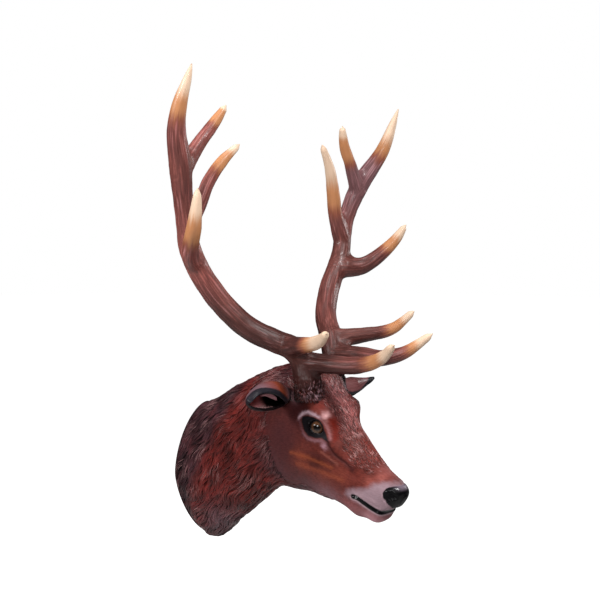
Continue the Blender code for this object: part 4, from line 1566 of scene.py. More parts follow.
class Fur:
    """All pieces of carved hair: neck, nape, throat, forehead and the tufts round the antlers."""

    NECK = LockStyle((0.05, 0.092), (0.008, 0.013), 0.0016, (0.0014, 0.0036), 0.0026, 0.065, 0.08,
                     2, 9, 0.0008, 0.6)
    # thin wisps: their pale dry brush is in part painted glints
    WISP = LockStyle((0.04, 0.08), (0.0035, 0.006), 0.001, (0.0026, 0.0046), 0.001, 0.075, 0.14,
                     1, 9, 0.0006, 0.8, 1.2, 0.35)
    THROAT = LockStyle((0.026, 0.046), (0.004, 0.0065), 0.001, (0.0006, 0.0018), 0.0014, 0.045, 0.1,
                       2, 8, 0.0006)
    FOREHEAD = LockStyle((0.012, 0.019), (0.0024, 0.0038), 0.0007, (0.0005, 0.0013), 0.0009, 0.07, 0.2,
                         1, 6, 0.0005, 0.42, 1.3, 0.6, 0.25, 0.014)
    CROWN = LockStyle((0.016, 0.028), (0.004, 0.0065), 0.0011, (0.0008, 0.003), 0.0015, 0.09, 0.3,
                      2, 7, 0.0008, 0.5, 1.2, 0.4, 0.3, 0.016)
    NECK_KINDS = (("locks", NECK, 1600, 21), ("wisps", WISP, 650, 31))  # kind, style, count, seed
    HEAD_KINDS = (("throat_hair", "throat", THROAT, 330, 23),  # name, weight, style, count, seed
                  ("forehead_curls", "forehead", FOREHEAD, 2600, 24),
                  ("crown_tufts", "crown", CROWN, 520, 25))
    EAR_ROOT = (0.074, 0.37, 0.248)
    CROWN_SPOTS = (((0.0, 0.445, 0.285), 0.02, 1.0), ((0.054, 0.44, 0.268), 0.016, 1.0),
                   ((0.068, 0.392, 0.262), 0.014, 0.8))  # place, reach, strength

    def __init__(self, form: BodyForm, markings: Markings, noise: Noise) -> None:
        """Keeps the surface that the locks lie on."""
        self.form, self.markings, self.noise = form, markings, noise
        depth = Skin.coat_depth(form, noise)
        self.surface = Surface(form.points - form.normals * depth[..., None])

    def weights(self) -> dict[str, Array]:
        """How densely each kind of lock grows on the surface.

        Returns:
            A weight for each grid point, by the kind's name.
        """
        points = self.surface.points
        left, forward = folded(points), -points[..., 1]
        neck = Markings.neckness(points) * ease(0.0, 0.012, forward)
        under = ease(0.62, 0.86, -self.surface.normals[..., 2])
        crown = np.maximum.reduce([strength * bell(far_from(left, place(*spot)), reach)
                                   for spot, reach, strength in self.CROWN_SPOTS])
        clear = ease(0.017, 0.026, far_from(left, place(*self.EAR_ROOT)))
        return {"neck": neck * clear / self.size_at(points) ** 1.5,
                "throat": under * ease(0.3, 0.34, forward) * ease(0.49, 0.43, forward),
                "forehead": Skin.forehead(points), "crown": crown * clear}

    def build_neck(self, material: bpy.types.Material) -> list[bpy.types.Object]:
        """Makes the locks of the neck and the thin wisps over them.

        Args:
            material: the finish.

        Returns:
            The pieces.
        """
        weights = self.weights()
        left = self.surface.points[..., 0] >= 0.0
        pieces = []
        for side, half in ((Side.LEFT, left), (Side.RIGHT, ~left)):
            for kind, style, count, seed in self.NECK_KINDS:
                coat = Coat(self.surface, self.markings, self.noise, seed + side.value)
                rows, columns = self.surface.scatter(weights["neck"] * half, count, coat.rng)
                scale = self.size_at(self.surface.read(self.surface.points, rows, columns))
                pieces.append(coat.build(f"neck_{kind}_{side.word}", style, rows, columns, material, scale))
        return pieces

    def build_head(self, material: bpy.types.Material) -> list[bpy.types.Object]:
        """Makes the curls of the forehead and the tufts of crown and throat.

        Args:
            material: the finish.

        Returns:
            The pieces.
        """
        weights = self.weights()
        pieces = []
        for name, key, style, count, seed in self.HEAD_KINDS:
            coat = Coat(self.surface, self.markings, self.noise, seed)
            rows, columns = self.surface.scatter(weights[key], count, coat.rng)
            pieces.append(coat.build(name, style, rows, columns, material))
        return pieces

    @staticmethod
    def size_at(points: Array) -> Array:
        """Size of the neck's locks: small along the cheek, larger behind it."""
        return blend(0.34, 1.0, ease(-0.012, 0.085, -Markings.past_cheek(points)))


class Tufts(Coat):
    """Locks on one side of the head that all point one way."""

    STYLE: LockStyle
    COUNT: int
    WAY: Triple  # outward, back and up

    def __init__(self, side: Side, grid: Array, markings: Markings, noise: Noise, seed: int) -> None:
        """Keeps the grid that the locks lie on."""
        super().__init__(Surface(grid), markings, noise, seed + side.value)
        self.side = side

    def flow(self, points: Array, normals: Array) -> Array:
        """The one way, laid along the surface."""
        across, back, rise = self.WAY
        return laid_along(np.broadcast_to([across * self.side.value, back, rise], points.shape), normals)

    def sow(self, ending: str, weight: Array, slot: Slot, material: bpy.types.Material) -> None:
        """Scatters the locks by a weight and keeps the piece."""
        rows, columns = self.surface.scatter(weight, self.COUNT, self.rng)
        keep_piece(self.build(f"{self.side.word}_{ending}", self.STYLE, rows, columns, material), slot)


class FootTufts(Tufts):
    """Dark tufts that rise round the foot of an antler and hide its burr."""

    STYLE = LockStyle((0.009, 0.017), (0.002, 0.0034), 0.0008, (0.0006, 0.0026), 0.0012, 0.1, 0.42,
                      1, 6, 0.0006, 0.6, 0.25, 0.5)
    COUNT = 560
    ROWS, COLUMNS = 24, 64
    LOW = {Side.LEFT: (0.044, 0.427, 0.236), Side.RIGHT: (0.05, 0.431, 0.236)}
    HIGH = {Side.LEFT: (0.051, 0.421, 0.3), Side.RIGHT: (0.058, 0.425, 0.3)}
    RADII = {Side.LEFT: (0.031, 0.024), Side.RIGHT: (0.04, 0.0305)}
    TONE, MIDDLE, PALE = (48, 17, 14), (80, 36, 33), (172, 136, 144)
    FRONT = (0.066, 0.468, 0.264)
    WAY = (0.2, 0.1, 1.0)

    def __init__(self, side: Side, markings: Markings, noise: Noise) -> None:
        """Lays a cone round the foot, from the skin to the first tine."""
        turn = -side.value * turns(self.COLUMNS)[None, :, None]
        share = np.linspace(0.0, 1.0, self.ROWS)[:, None, None]
        low, high = (place(side.value * x, f, z) for x, f, z in (self.LOW[side], self.HIGH[side]))
        ring = np.concatenate([side.value * np.cos(turn), np.sin(turn), np.zeros_like(turn)], axis=-1)
        cone = blend(low, high, share) + ring * blend(*self.RADII[side], share)
        super().__init__(side, cone, markings, noise, 50)

    def colour(self, points: Array) -> Array:
        """Dark, with pale tufts in front."""
        across, forward, height = self.FRONT
        pale = bell(far_from(points, place(self.side.value * across, forward, height)), 0.019)
        pale = pale * ease(-0.3, 0.3, self.noise.at(points, 0.008))
        mixed = ease(-0.3, 0.4, self.noise.at(points + 2.0, 0.012)) * ease(0.405, 0.44, -points[..., 1])
        colour = blend(tone(*self.TONE), tone(*self.MIDDLE), mixed[..., None])
        return painted(colour, self.PALE, 0.9 * pale)

    def make(self, material: bpy.types.Material) -> None:
        """Makes the piece, with fewer tufts higher up."""
        low = 1.0 - np.linspace(0.0, 1.0, self.ROWS)[:, None] ** 0.6
        weight = np.broadcast_to(low, self.surface.points.shape[:2]) + 0.001
        self.sow("antler_tufts", weight, Slot.COAT, material)


# ---- eyes ----


class Eye:
    """A glossy eyeball and its two lids in one ring."""

    ROWS, COLUMNS = 72, 96
    LID_COLUMNS = 128
    IRIS_DEG = 46.0
    PUPIL_DEG = (27.0, 20.0)  # half its width and height
    CORNEA, CORNEA_DEG = 0.0009, 26.0
    IRIS_PALE, IRIS_DARK, IRIS_EDGE = (90, 60, 40), (58, 36, 24), (46, 28, 18)
    PUPIL, BALL, LID_RIM, LID = (10, 6, 5), (10, 8, 9), (12, 9, 11), (24, 19, 23)
    PROFILE = (  # scale of the almond, height over the ball, height over the skin, share of the skin
        (0.985, -0.0012, 0.0, 0.0), (0.985, 0.0002, 0.0, 0.0), (1.0, 0.0007, 0.0, 0.0),
        (1.05, 0.0009, 0.0012, 0.2), (1.1, 0.0007, 0.0014, 0.6), (1.16, 0.0, 0.001, 0.95),
        (1.24, 0.0, -0.0001, 1.0), (1.34, 0.0, -0.0012, 1.0), (1.44, 0.0, -0.0024, 1.0),
        (1.44, 0.0, -0.004, 1.0), (1.2, -0.004, -0.007, 0.6), (1.02, -0.004, 0.0, 0.0))

    def __init__(self, spot: EyePlace, lid_shape: Array, noise: Noise) -> None:
        """Keeps the eye's place and the quadric that the skin follows round it."""
        self.spot, self.lid_shape, self.noise = spot, lid_shape, noise

    def ball(self, material: bpy.types.Material) -> bpy.types.Object:
        """The eyeball: a sphere about the gaze, with a low cornea and a painted iris.

        Args:
            material: the finish.

        Returns:
            The piece.
        """
        spot = self.spot
        gaze = unit(spot.turned(spot.gaze))
        level = unit(np.cross(gaze, [0.0, 0.0, 1.0]))
        upward = np.cross(level, gaze)
        polar = np.linspace(0.0, math.pi, self.ROWS + 2)[1:-1, None]
        turn = turns(self.COLUMNS)[None, :]
        radius = spot.radius + self.CORNEA * bell(np.degrees(polar), self.CORNEA_DEG)
        ring = np.sin(polar) * radius
        offset = (ring * np.cos(turn))[..., None] * level + (ring * np.sin(turn))[..., None] * upward \
            + (np.cos(polar) * radius * np.ones_like(turn))[..., None] * gaze
        ends = [gaze * (spot.radius + self.CORNEA), -gaze * spot.radius]
        points = np.vstack([offset.reshape(-1, 3), *ends]) + spot.turned(spot.centre)
        offset = points - spot.turned(spot.centre)
        around = np.arctan2(offset @ upward, offset @ level)
        out, wide, high = (np.clip(unit(offset) @ axis, -1.0, 1.0) for axis in (gaze, level, upward))
        tilt = np.degrees(np.arccos(out))
        uv = np.stack([around / WRAP + 0.5, tilt / 180.0], axis=-1)
        sheet = Sheet(points, tube_faces(self.ROWS, self.COLUMNS, True), self.iris(around, tilt, wide, high),
                      0.6, points, 0.0, uv)
        name = spot.side.word
        return keep_piece(sheet.to_object(f"eyeball_{name}", material), Slot.EYE, f"eye_{name}")

    def iris(self, around: Array, tilt: Array, wide: Array, high: Array) -> Array:
        """The ball's colours: rays in the iris, with a dark edge, and a wide dark pupil.

        Args:
            around: each point's angle about the gaze.
            tilt: its angle from the gaze, in degrees.
            wide: its unit direction's part to the side.
            high: its unit direction's part upwards.

        Returns:
            The colours.
        """
        rays = self.noise.at(np.stack([np.cos(around) * 9.0, np.sin(around) * 9.0, tilt / 14.0], -1))
        pupil = np.hypot(*(np.degrees(np.arcsin(part)) / half
                           for part, half in zip((wide, high), self.PUPIL_DEG)))
        share = tilt / self.IRIS_DEG
        colour = blend(tone(*self.IRIS_PALE), tone(*self.IRIS_DARK), np.clip(0.5 + 0.9 * rays, 0, 1)[:, None])
        for over, cover in ((self.IRIS_EDGE, ease(0.72, 1.0, share)),
                            (self.PUPIL, 1.0 - ease(0.7, 1.15, pupil)), (self.BALL, ease(0.93, 1.0, share))):
            colour = painted(colour, over, cover)
        return colour

    def lids(self, material: bpy.types.Material) -> bpy.types.Object:
        """The lids: a closed profile carried round the almond of the opening.

        Each profile point is a scale of the almond and a height over the eyeball or over the
        quadric that the skin follows.

        Args:
            material: the finish.

        Returns:
            The piece.
        """
        spot = self.spot
        turn = turns(self.LID_COLUMNS)
        scale, over_ball, over_skin, share = (np.array(self.PROFILE)[:, k, None] for k in range(4))
        direction = np.stack([np.cos(turn), np.sin(turn)], axis=-1)
        reach = 1.0 / spot.scale_at(direction[:, 0], direction[:, 1])
        a, b = scale * reach * direction[:, 0], scale * reach * direction[:, 1]
        flat = np.minimum(np.hypot(a, b), spot.radius * 0.985)
        ball = np.sqrt(np.maximum(spot.radius**2 - flat**2, 0.0))
        skin = Skin.quadric_terms(a, b) @ self.lid_shape
        upper = ease(-0.2, 0.8, direction[:, 1])
        height = blend(ball + over_ball * (1.0 + 2.0 * upper), skin + over_skin * (1.0 + 0.6 * upper), share)
        along, upward, outward = spot.axes()
        points = spot.turned(spot.centre) + a[..., None] * along + b[..., None] * upward \
            + height[..., None] * outward
        rows = len(self.PROFILE)
        corner = np.arange(rows * self.LID_COLUMNS).reshape(rows, self.LID_COLUMNS)
        right, below = np.roll(corner, -1, axis=1), np.roll(corner, -1, axis=0)
        quads = np.stack([corner, right, np.roll(right, -1, axis=0), below], axis=-1).reshape(-1, 4)
        if np.cross(along, upward) @ outward < 0.0:
            quads = quads[:, ::-1]
        points = points.reshape(-1, 3)
        row = np.repeat(np.arange(rows) / rows, self.LID_COLUMNS)
        colour = blend(tone(*self.LID_RIM), tone(*self.LID), ease(0.2, 0.6, row)[:, None])
        uv = np.stack([np.tile(turn / WRAP, rows), row], axis=-1)
        sheet = Sheet(points, [quads], colour, np.where(row < 0.3, 0.3, 0.05), points, 0.0, uv)
        return keep_piece(sheet.to_object(f"eyelids_{spot.side.word}", material), Slot.COAT)


# ---- ears ----


@dataclass(frozen=True)
class EarRing:
    """One section across the ear: a crescent round a centre, open between two angles."""

    side: float
    forward: float
    height: float
    radius: float
    wall: float
    upper_edge_deg: float
    lower_edge_deg: float


EAR_RINGS = (
    EarRing(0.062, 0.366, 0.25, 0.015, 0.006, -52.0, 303.0),
    EarRing(0.082, 0.371, 0.2515, 0.02, 0.0055, -50.0, 299.0),
    EarRing(0.104, 0.377, 0.2545, 0.029, 0.0052, -38.0, 294.0),
    EarRing(0.13, 0.384, 0.256, 0.0332, 0.005, -12.0, 290.0),
    EarRing(0.158, 0.39, 0.257, 0.0345, 0.0048, 14.0, 290.0),
    EarRing(0.186, 0.394, 0.256, 0.0315, 0.0046, 36.0, 292.0),
    EarRing(0.212, 0.398, 0.254, 0.024, 0.0042, 46.0, 292.0),
    EarRing(0.23, 0.401, 0.253, 0.015, 0.0038, 34.0, 290.0),
    EarRing(0.2395, 0.403, 0.253, 0.007, 0.0034, -5.0, 290.0),
)
EAR_TIP_LIFT = {Side.LEFT: 0.012, Side.RIGHT: 0.0}
EAR_ARCH = {Side.LEFT: -0.011, Side.RIGHT: 0.0}
EAR_TAPER = {  # (share of the length, factor on the radius)
    Side.LEFT: ((0.0, 0.7), (0.54, 0.73), (0.7, 0.55), (0.85, 0.41), (1.0, 0.4)),
    Side.RIGHT: ((0.0, 1.0), (1.0, 1.0)),
}
EAR_FOLD_DEG = {Side.LEFT: -40.0, Side.RIGHT: 90.0}  # highest angle of the upper edge


class EarTufts(Tufts):
    """Pale hairs that stand along the lower edge inside an ear."""

    STYLE = LockStyle((0.007, 0.012), (0.0018, 0.0028), 0.0007, (0.001, 0.0024), 0.0008, 0.08, 0.35,
                      1, 6, 0.0005, 0.7, 1.3, 0.3, 0.8)
    COUNT = 110
    TONE = (168, 128, 128)
    WAY = (0.55, -0.35, 0.75)

    def colour(self, points: Array) -> Array:
        """One pale tone, darker towards the head."""
        far = ease(0.09, 0.15, np.abs(points[..., 0]))
        return tone(*self.TONE) * blend(0.45, 1.0, far)[..., None]


class Ear:
    """A cupped ear with a thick dark rim, an orange patch on its back and painted shade deep in its hollow.
    """

    ROWS = 84
    ARC = 56
    EDGE = 7  # points round each rolled edge
    LOBE = 0.006  # how far the lining under the upper edge hangs into the hollow
    FOLD_LINE = ((0.196, 0.402, 0.262), (0.186, 0.407, 0.2655), (0.172, 0.41, 0.261), (0.158, 0.411, 0.2545),
                 (0.149, 0.41, 0.248))
    FOLD_ROWS, FOLD_SIDES = 22, 14
    FOLD_FACING = (0.74, 0.67, 0.0)
    FOLD_HALVES = (0.0052, 0.0034)  # its half width and half thickness
    FOLD_TONE = (132, 92, 97)
    BACK_FRONT, BACK_REAR, BACK_ORANGE, BACK_RED = (98, 74, 80), (70, 40, 42), (126, 56, 32), (112, 56, 54)
    FAR_BACK = (1.75, 1.35, 1.25)  # painted light: the left ear's back is tinted lighter than the right's
    # the black of the hollow is painted shade
    LINING, LINING_LOW, HOLLOW = (216, 158, 160), (208, 134, 136), (5, 3, 3)
    # the rim's lower tone is painted shade
    RIM, RIM_LOW = (28, 27, 33), (17, 11, 13)
    RIM_WIDTH = {Side.LEFT: 0.008, Side.RIGHT: 0.0095}

    def __init__(self, side: Side, noise: Noise) -> None:
        """Keeps the ear's side."""
        self.side, self.noise = side, noise

    def sections(self) -> tuple[Array, ...]:
        """The crescents' numbers along the ear, folded and tapered as this side's ear is.

        Returns:
            Columns: the share of the way to the tip, side, forward, height, radius, wall, and the
            angles of the upper and the lower edge.
        """
        table = np.array([astuple(ring) for ring in EAR_RINGS])
        table[:, -2:] = np.radians(table[:, -2:])
        along = np.linspace(0.0, 1.0, self.ROWS) ** 0.9 * (len(table) - 1.0)
        row = through(table, along)
        side, forward, height, radius, wall, first, last = (row[:, k, None] for k in range(7))
        out = (side - side[0]) / (side[-1] - side[0])
        first = np.minimum(first, math.radians(EAR_FOLD_DEG[self.side]))
        height = height + EAR_TIP_LIFT[self.side] * out**2 + EAR_ARCH[self.side] * np.sin(math.pi * out)
        radius = radius * np.interp(out, *np.array(EAR_TAPER[self.side]).T)
        return out, side, forward, height, radius, wall, first, last

    def build(self, material: bpy.types.Material, markings: Markings) -> None:
        """Makes the ear and the hairs along the lower edge of its hollow.

        A section is a crescent: an arc of radius r between two angles with a wall whose two
        faces are joined by half rounds. The wall thickens towards the edges into a rolled rim.

        Args:
            material: the finish.
            markings: the colours that the hairs share.
        """
        out, side, forward, height, radius, wall, first, last = self.sections()
        share = np.linspace(0.0, 1.0, self.ARC)
        round_ = np.linspace(-90.0, 90.0, self.EDGE + 2)[1:-1] * math.pi / 180.0
        rim = 1.0 + 0.6 * bell(np.minimum(share, 1.0 - share), 0.05)
        half = wall / 2.0 * np.minimum(1.0, radius / (1.6 * wall))
        middle = radius - half * 1.1
        spots = np.stack(np.broadcast_arrays(side / 0.03, share[None] * 3.0, np.zeros_like(side)), -1)
        scallop = 0.0014 * self.noise.at(spots) * np.minimum(out * 6.0, 1.0)
        shell = middle + scallop
        angle = first + (last - first) * share
        over, across = half * rim[-1] * np.cos(round_) / middle, half * rim[-1] * np.sin(round_)
        angles = np.concatenate([angle, last + over, angle[:, ::-1], first - over], axis=1)
        reach = np.concatenate([shell + half * rim, shell[:, -1:] - across, (shell - half * rim)[:, ::-1],
                                shell[:, :1] + across], axis=1)
        y = -(forward + reach * np.cos(angles))
        z = height + reach * np.sin(angles)
        lobe = self.LOBE * bell(out - 0.55, 0.17) * bell(share[::-1] - 0.05, 0.06)
        z[:, self.ARC + self.EDGE:2 * self.ARC + self.EDGE] -= lobe
        grid = np.stack([np.broadcast_to(self.side.value * side, y.shape), y, z], axis=-1)
        rows, columns = grid.shape[:2]
        tip = grid[-1].mean(axis=0) + np.array([self.side.value * 0.0015, 0.0, 0.0])
        points = np.vstack([grid.reshape(-1, 3), grid[0].mean(axis=0), tip])
        edge = np.full(self.EDGE, 0.5)
        arc = np.concatenate([share, 2.0 * edge, share[::-1], 0.0 * edge])
        inside = np.concatenate([np.zeros(self.ARC), edge, np.ones(self.ARC), edge])
        colour, strand = self.paint(grid, out, (last - first) * radius, inside, arc)
        sheet = Sheet(points, tube_faces(rows, columns, self.side is Side.LEFT), self.with_ends(colour), 0.03,
                      self.with_ends(strand), 0.42, self.with_ends(grid_uv(rows, columns)))
        keep_piece(sheet.to_object(f"{self.side.word}_ear", material), Slot.EAR, f"ear_{self.side.word}")
        if self.side is Side.RIGHT:
            self.build_fold(material)
        lower = (inside > 0.6) * ease(0.8, 0.88, arc) * ease(1.0, 0.96, arc)
        weight = lower[None] * ease(0.42, 0.52, out) * ease(0.86, 0.76, out)
        EarTufts(self.side, grid, markings, self.noise, 40).sow("ear_hairs", weight, Slot.EAR, material)

    def build_fold(self, material: bpy.types.Material) -> None:
        """Makes the pink fold that hangs from the upper edge into the hollow.

        Args:
            material: the finish.
        """
        share = np.linspace(0.0, 1.0, self.FOLD_ROWS)
        stations = np.array([place(self.side.value * x, f, z) for x, f, z in self.FOLD_LINE])
        centre = through(stations, share * (len(stations) - 1.0))
        ahead = unit(np.gradient(centre, axis=0))
        x, f, z = self.FOLD_FACING
        flat = unit(np.cross(ahead, place(self.side.value * x, f, z)))
        girth = np.sqrt(np.maximum(1.0 - (2.0 * share - 1.0) ** 2, 0.02))[:, None, None]
        turn = turns(self.FOLD_SIDES)[None, :, None]
        wide, thick = self.FOLD_HALVES
        points = centre[:, None] + girth * (wide * np.cos(turn) * flat[:, None]
                                            + thick * np.sin(turn) * np.cross(ahead, flat)[:, None])
        points = np.vstack([points.reshape(-1, 3), centre[0] - 0.0008 * ahead[0],
                            centre[-1] + 0.0008 * ahead[-1]])
        count = len(points)
        uv = np.repeat(np.arange(count)[:, None] / count, 2, axis=1)
        sheet = Sheet(points, tube_faces(self.FOLD_ROWS, self.FOLD_SIDES),
                      np.broadcast_to(tone(*self.FOLD_TONE), (count, 3)), 0.0, points * 0.5, 0.3, uv)
        keep_piece(sheet.to_object(f"{self.side.word}_ear_fold", material), Slot.EAR)

    @staticmethod
    def with_ends(field_: Array) -> Array:
        """A grid's values in one column, with those of its two poles behind them."""
        rows, columns = field_.shape[:2]
        return np.vstack([field_.reshape(rows * columns, -1), field_[0, :1], field_[-1, :1]])

    def paint(self, grid: Array, out: Array, girth: Array, inside: Array,
              arc: Array) -> tuple[Array, Array]:
        """The ear's colours: pinkish back with an orange patch, slate rim with painted shade on its lower
        half, pink lining with painted shade deep inside.

        Args:
            grid: the ear's points.
            out: each row's share of the way to the tip.
            girth: each row's length of arc.
            inside: 0 for the columns of the back, 1 for those of the hollow.
            arc: each column's share of the way from the upper edge to the lower.

        Returns:
            The colours and the strand coordinates.
        """
        left = self.side is Side.LEFT
        out = np.broadcast_to(out, grid.shape[:2])
        within = np.broadcast_to((inside > 0.6)[None], out.shape)
        wobble = self.noise.at(grid, 0.012)
        back = blend(tone(*self.BACK_FRONT), tone(*self.BACK_REAR), ease(0.34, 0.62, arc)[None, :, None])
        if left:
            # painted light on the far ear's back
            back = back * np.array(self.FAR_BACK)
        orange = np.clip((0.21 if left else 1.05) * bell(out - 0.43, 0.11) * ease(0.5, 0.32, arc), 0.0, 1.0)
        back = painted(back, self.BACK_ORANGE, orange)
        red = 0.5 * bell(out - 0.58, 0.07) * ease(0.6, 0.4, arc)
        back = painted(back, self.BACK_RED, red)
        hollow = blend(tone(*self.LINING), tone(*self.LINING_LOW), ease(0.1, 0.35, arc)[None, :, None])
        # painted shade deep in the hollow, towards the head
        deep = (1.0 - ease(0.44, 0.6, out + 0.02 * wobble)) * ease(0.16, 0.26, arc)
        deep = np.maximum(deep, 1.0 - ease(0.16, 0.26, out))
        hollow = painted(hollow, self.HOLLOW, deep)
        colour = blend(back, hollow, within[..., None])
        wide = self.RIM_WIDTH[self.side] * (1.0 - 0.65 * ease(0.45, 0.55, arc)) + 0.01 * ease(0.62, 0.95, out)
        width = np.where(within, 0.003 + 0.012 * ease(0.8, 0.98, out), wide)
        edge = np.minimum(arc, 1.0 - arc)[None] * girth
        slate = (1.0 - ease(-0.0016, 0.0016, edge - width + 0.0012 * wobble)) * ease(0.03, 0.12, out)
        # painted shade: the rim is darker on its lower half
        rim = blend(tone(*self.RIM), tone(*self.RIM_LOW), ease(0.45, 0.6, arc)[None, :, None])
        strand = np.stack(np.broadcast_arrays(out * 0.17, arc[None] * 0.12, np.zeros(1)), axis=-1)
        return blend(colour, rim, slate[..., None]), strand


# ---- antlers ----


@dataclass(frozen=True)
class Limb:
    """A beam or a tine: its centre line, its radii and how far the pale tip reaches down."""

    points: tuple[Triple, ...]
    radii: tuple[float, ...]
    cream: float  # metres from the end that are cream
    amber: float  # metres from the end where amber gives way to brown


BEAM_RADII = (0.028, 0.033, 0.03, 0.03, 0.029, 0.0285, 0.028, 0.0265, 0.0225, 0.026, 0.0195, 0.0085)

LIMBS = {
    Side.LEFT: (
        Limb(((0.045, 0.426, 0.258), (0.049, 0.421, 0.291), (0.058, 0.411, 0.338),
              (0.076, 0.391, 0.374), (0.104, 0.359, 0.396), (0.151, 0.307, 0.437),
              (0.216, 0.266, 0.505), (0.276, 0.254, 0.593), (0.304, 0.252, 0.697),
              (0.337, 0.277, 0.797), (0.38, 0.322, 0.892), (0.384, 0.376, 1.006)),
             (0.0235, 0.0255, 0.028) + BEAM_RADII[3:], 0.092, 0.15),
        Limb(((0.062, 0.413, 0.338), (0.055, 0.498, 0.345), (0.048, 0.57, 0.344),
              (0.052, 0.637, 0.362), (0.077, 0.698, 0.408)),
             (0.027, 0.0225, 0.02, 0.0155, 0.008), 0.045, 0.075),
        Limb(((0.082, 0.384, 0.378), (0.118, 0.471, 0.392), (0.143, 0.532, 0.408), (0.169, 0.581, 0.453)),
             (0.027, 0.019, 0.015, 0.0075), 0.035, 0.085),
        Limb(((0.262, 0.256, 0.565), (0.319, 0.296, 0.566), (0.353, 0.336, 0.598),
              (0.376, 0.372, 0.639), (0.389, 0.4, 0.682)),
             (0.035, 0.025, 0.02, 0.0155, 0.0075), 0.04, 0.095),
        Limb(((0.29, 0.25, 0.64), (0.254, 0.256, 0.705), (0.228, 0.268, 0.77),
              (0.196, 0.283, 0.83), (0.151, 0.294, 0.89)),
             (0.026, 0.02, 0.018, 0.014, 0.0075), 0.11, 0.2),
        Limb(((0.332, 0.275, 0.775), (0.281, 0.286, 0.85), (0.243, 0.295, 0.899), (0.216, 0.31, 0.946)),
             (0.023, 0.0165, 0.014, 0.0075), 0.032, 0.115),
    ),
    Side.RIGHT: (
        Limb(((0.052, 0.43, 0.256), (0.058, 0.426, 0.289), (0.062, 0.413, 0.334),
              (0.076, 0.391, 0.366), (0.103, 0.36, 0.383), (0.156, 0.311, 0.421),
              (0.218, 0.267, 0.5), (0.272, 0.248, 0.595), (0.302, 0.258, 0.695),
              (0.338, 0.286, 0.795), (0.376, 0.32, 0.893), (0.382, 0.377, 1.005)), BEAM_RADII, 0.067, 0.125),
        Limb(((0.062, 0.413, 0.332), (0.053, 0.499, 0.332), (0.047, 0.572, 0.334),
              (0.053, 0.64, 0.353), (0.078, 0.699, 0.391)),
             (0.027, 0.0225, 0.02, 0.0155, 0.008), 0.06, 0.115),
        Limb(((0.082, 0.384, 0.37), (0.118, 0.472, 0.38), (0.141, 0.533, 0.393), (0.17, 0.583, 0.417)),
             (0.027, 0.0195, 0.0155, 0.0075), 0.085, 0.12),
        Limb(((0.262, 0.25, 0.574), (0.314, 0.293, 0.587), (0.352, 0.336, 0.611),
              (0.377, 0.378, 0.658), (0.389, 0.403, 0.734)),
             (0.025, 0.0212, 0.019, 0.0165, 0.0075), 0.062, 0.135),
        Limb(((0.29, 0.25, 0.645), (0.256, 0.259, 0.711), (0.232, 0.267, 0.77),
              (0.197, 0.28, 0.821), (0.153, 0.29, 0.862)),
             (0.022, 0.017, 0.0155, 0.0135, 0.007), 0.035, 0.1),
        Limb(((0.332, 0.276, 0.775), (0.283, 0.286, 0.848), (0.247, 0.296, 0.896), (0.217, 0.31, 0.945)),
             (0.023, 0.0165, 0.0145, 0.0075), 0.015, 0.06),
    ),
}
ANTLER_NODES = ("beam_lower", "beam_upper", "crown_outer_tine", "brow_tine", "bez_tine", "trez_tine",
                "crown_rear_tine", "crown_inner_tine")


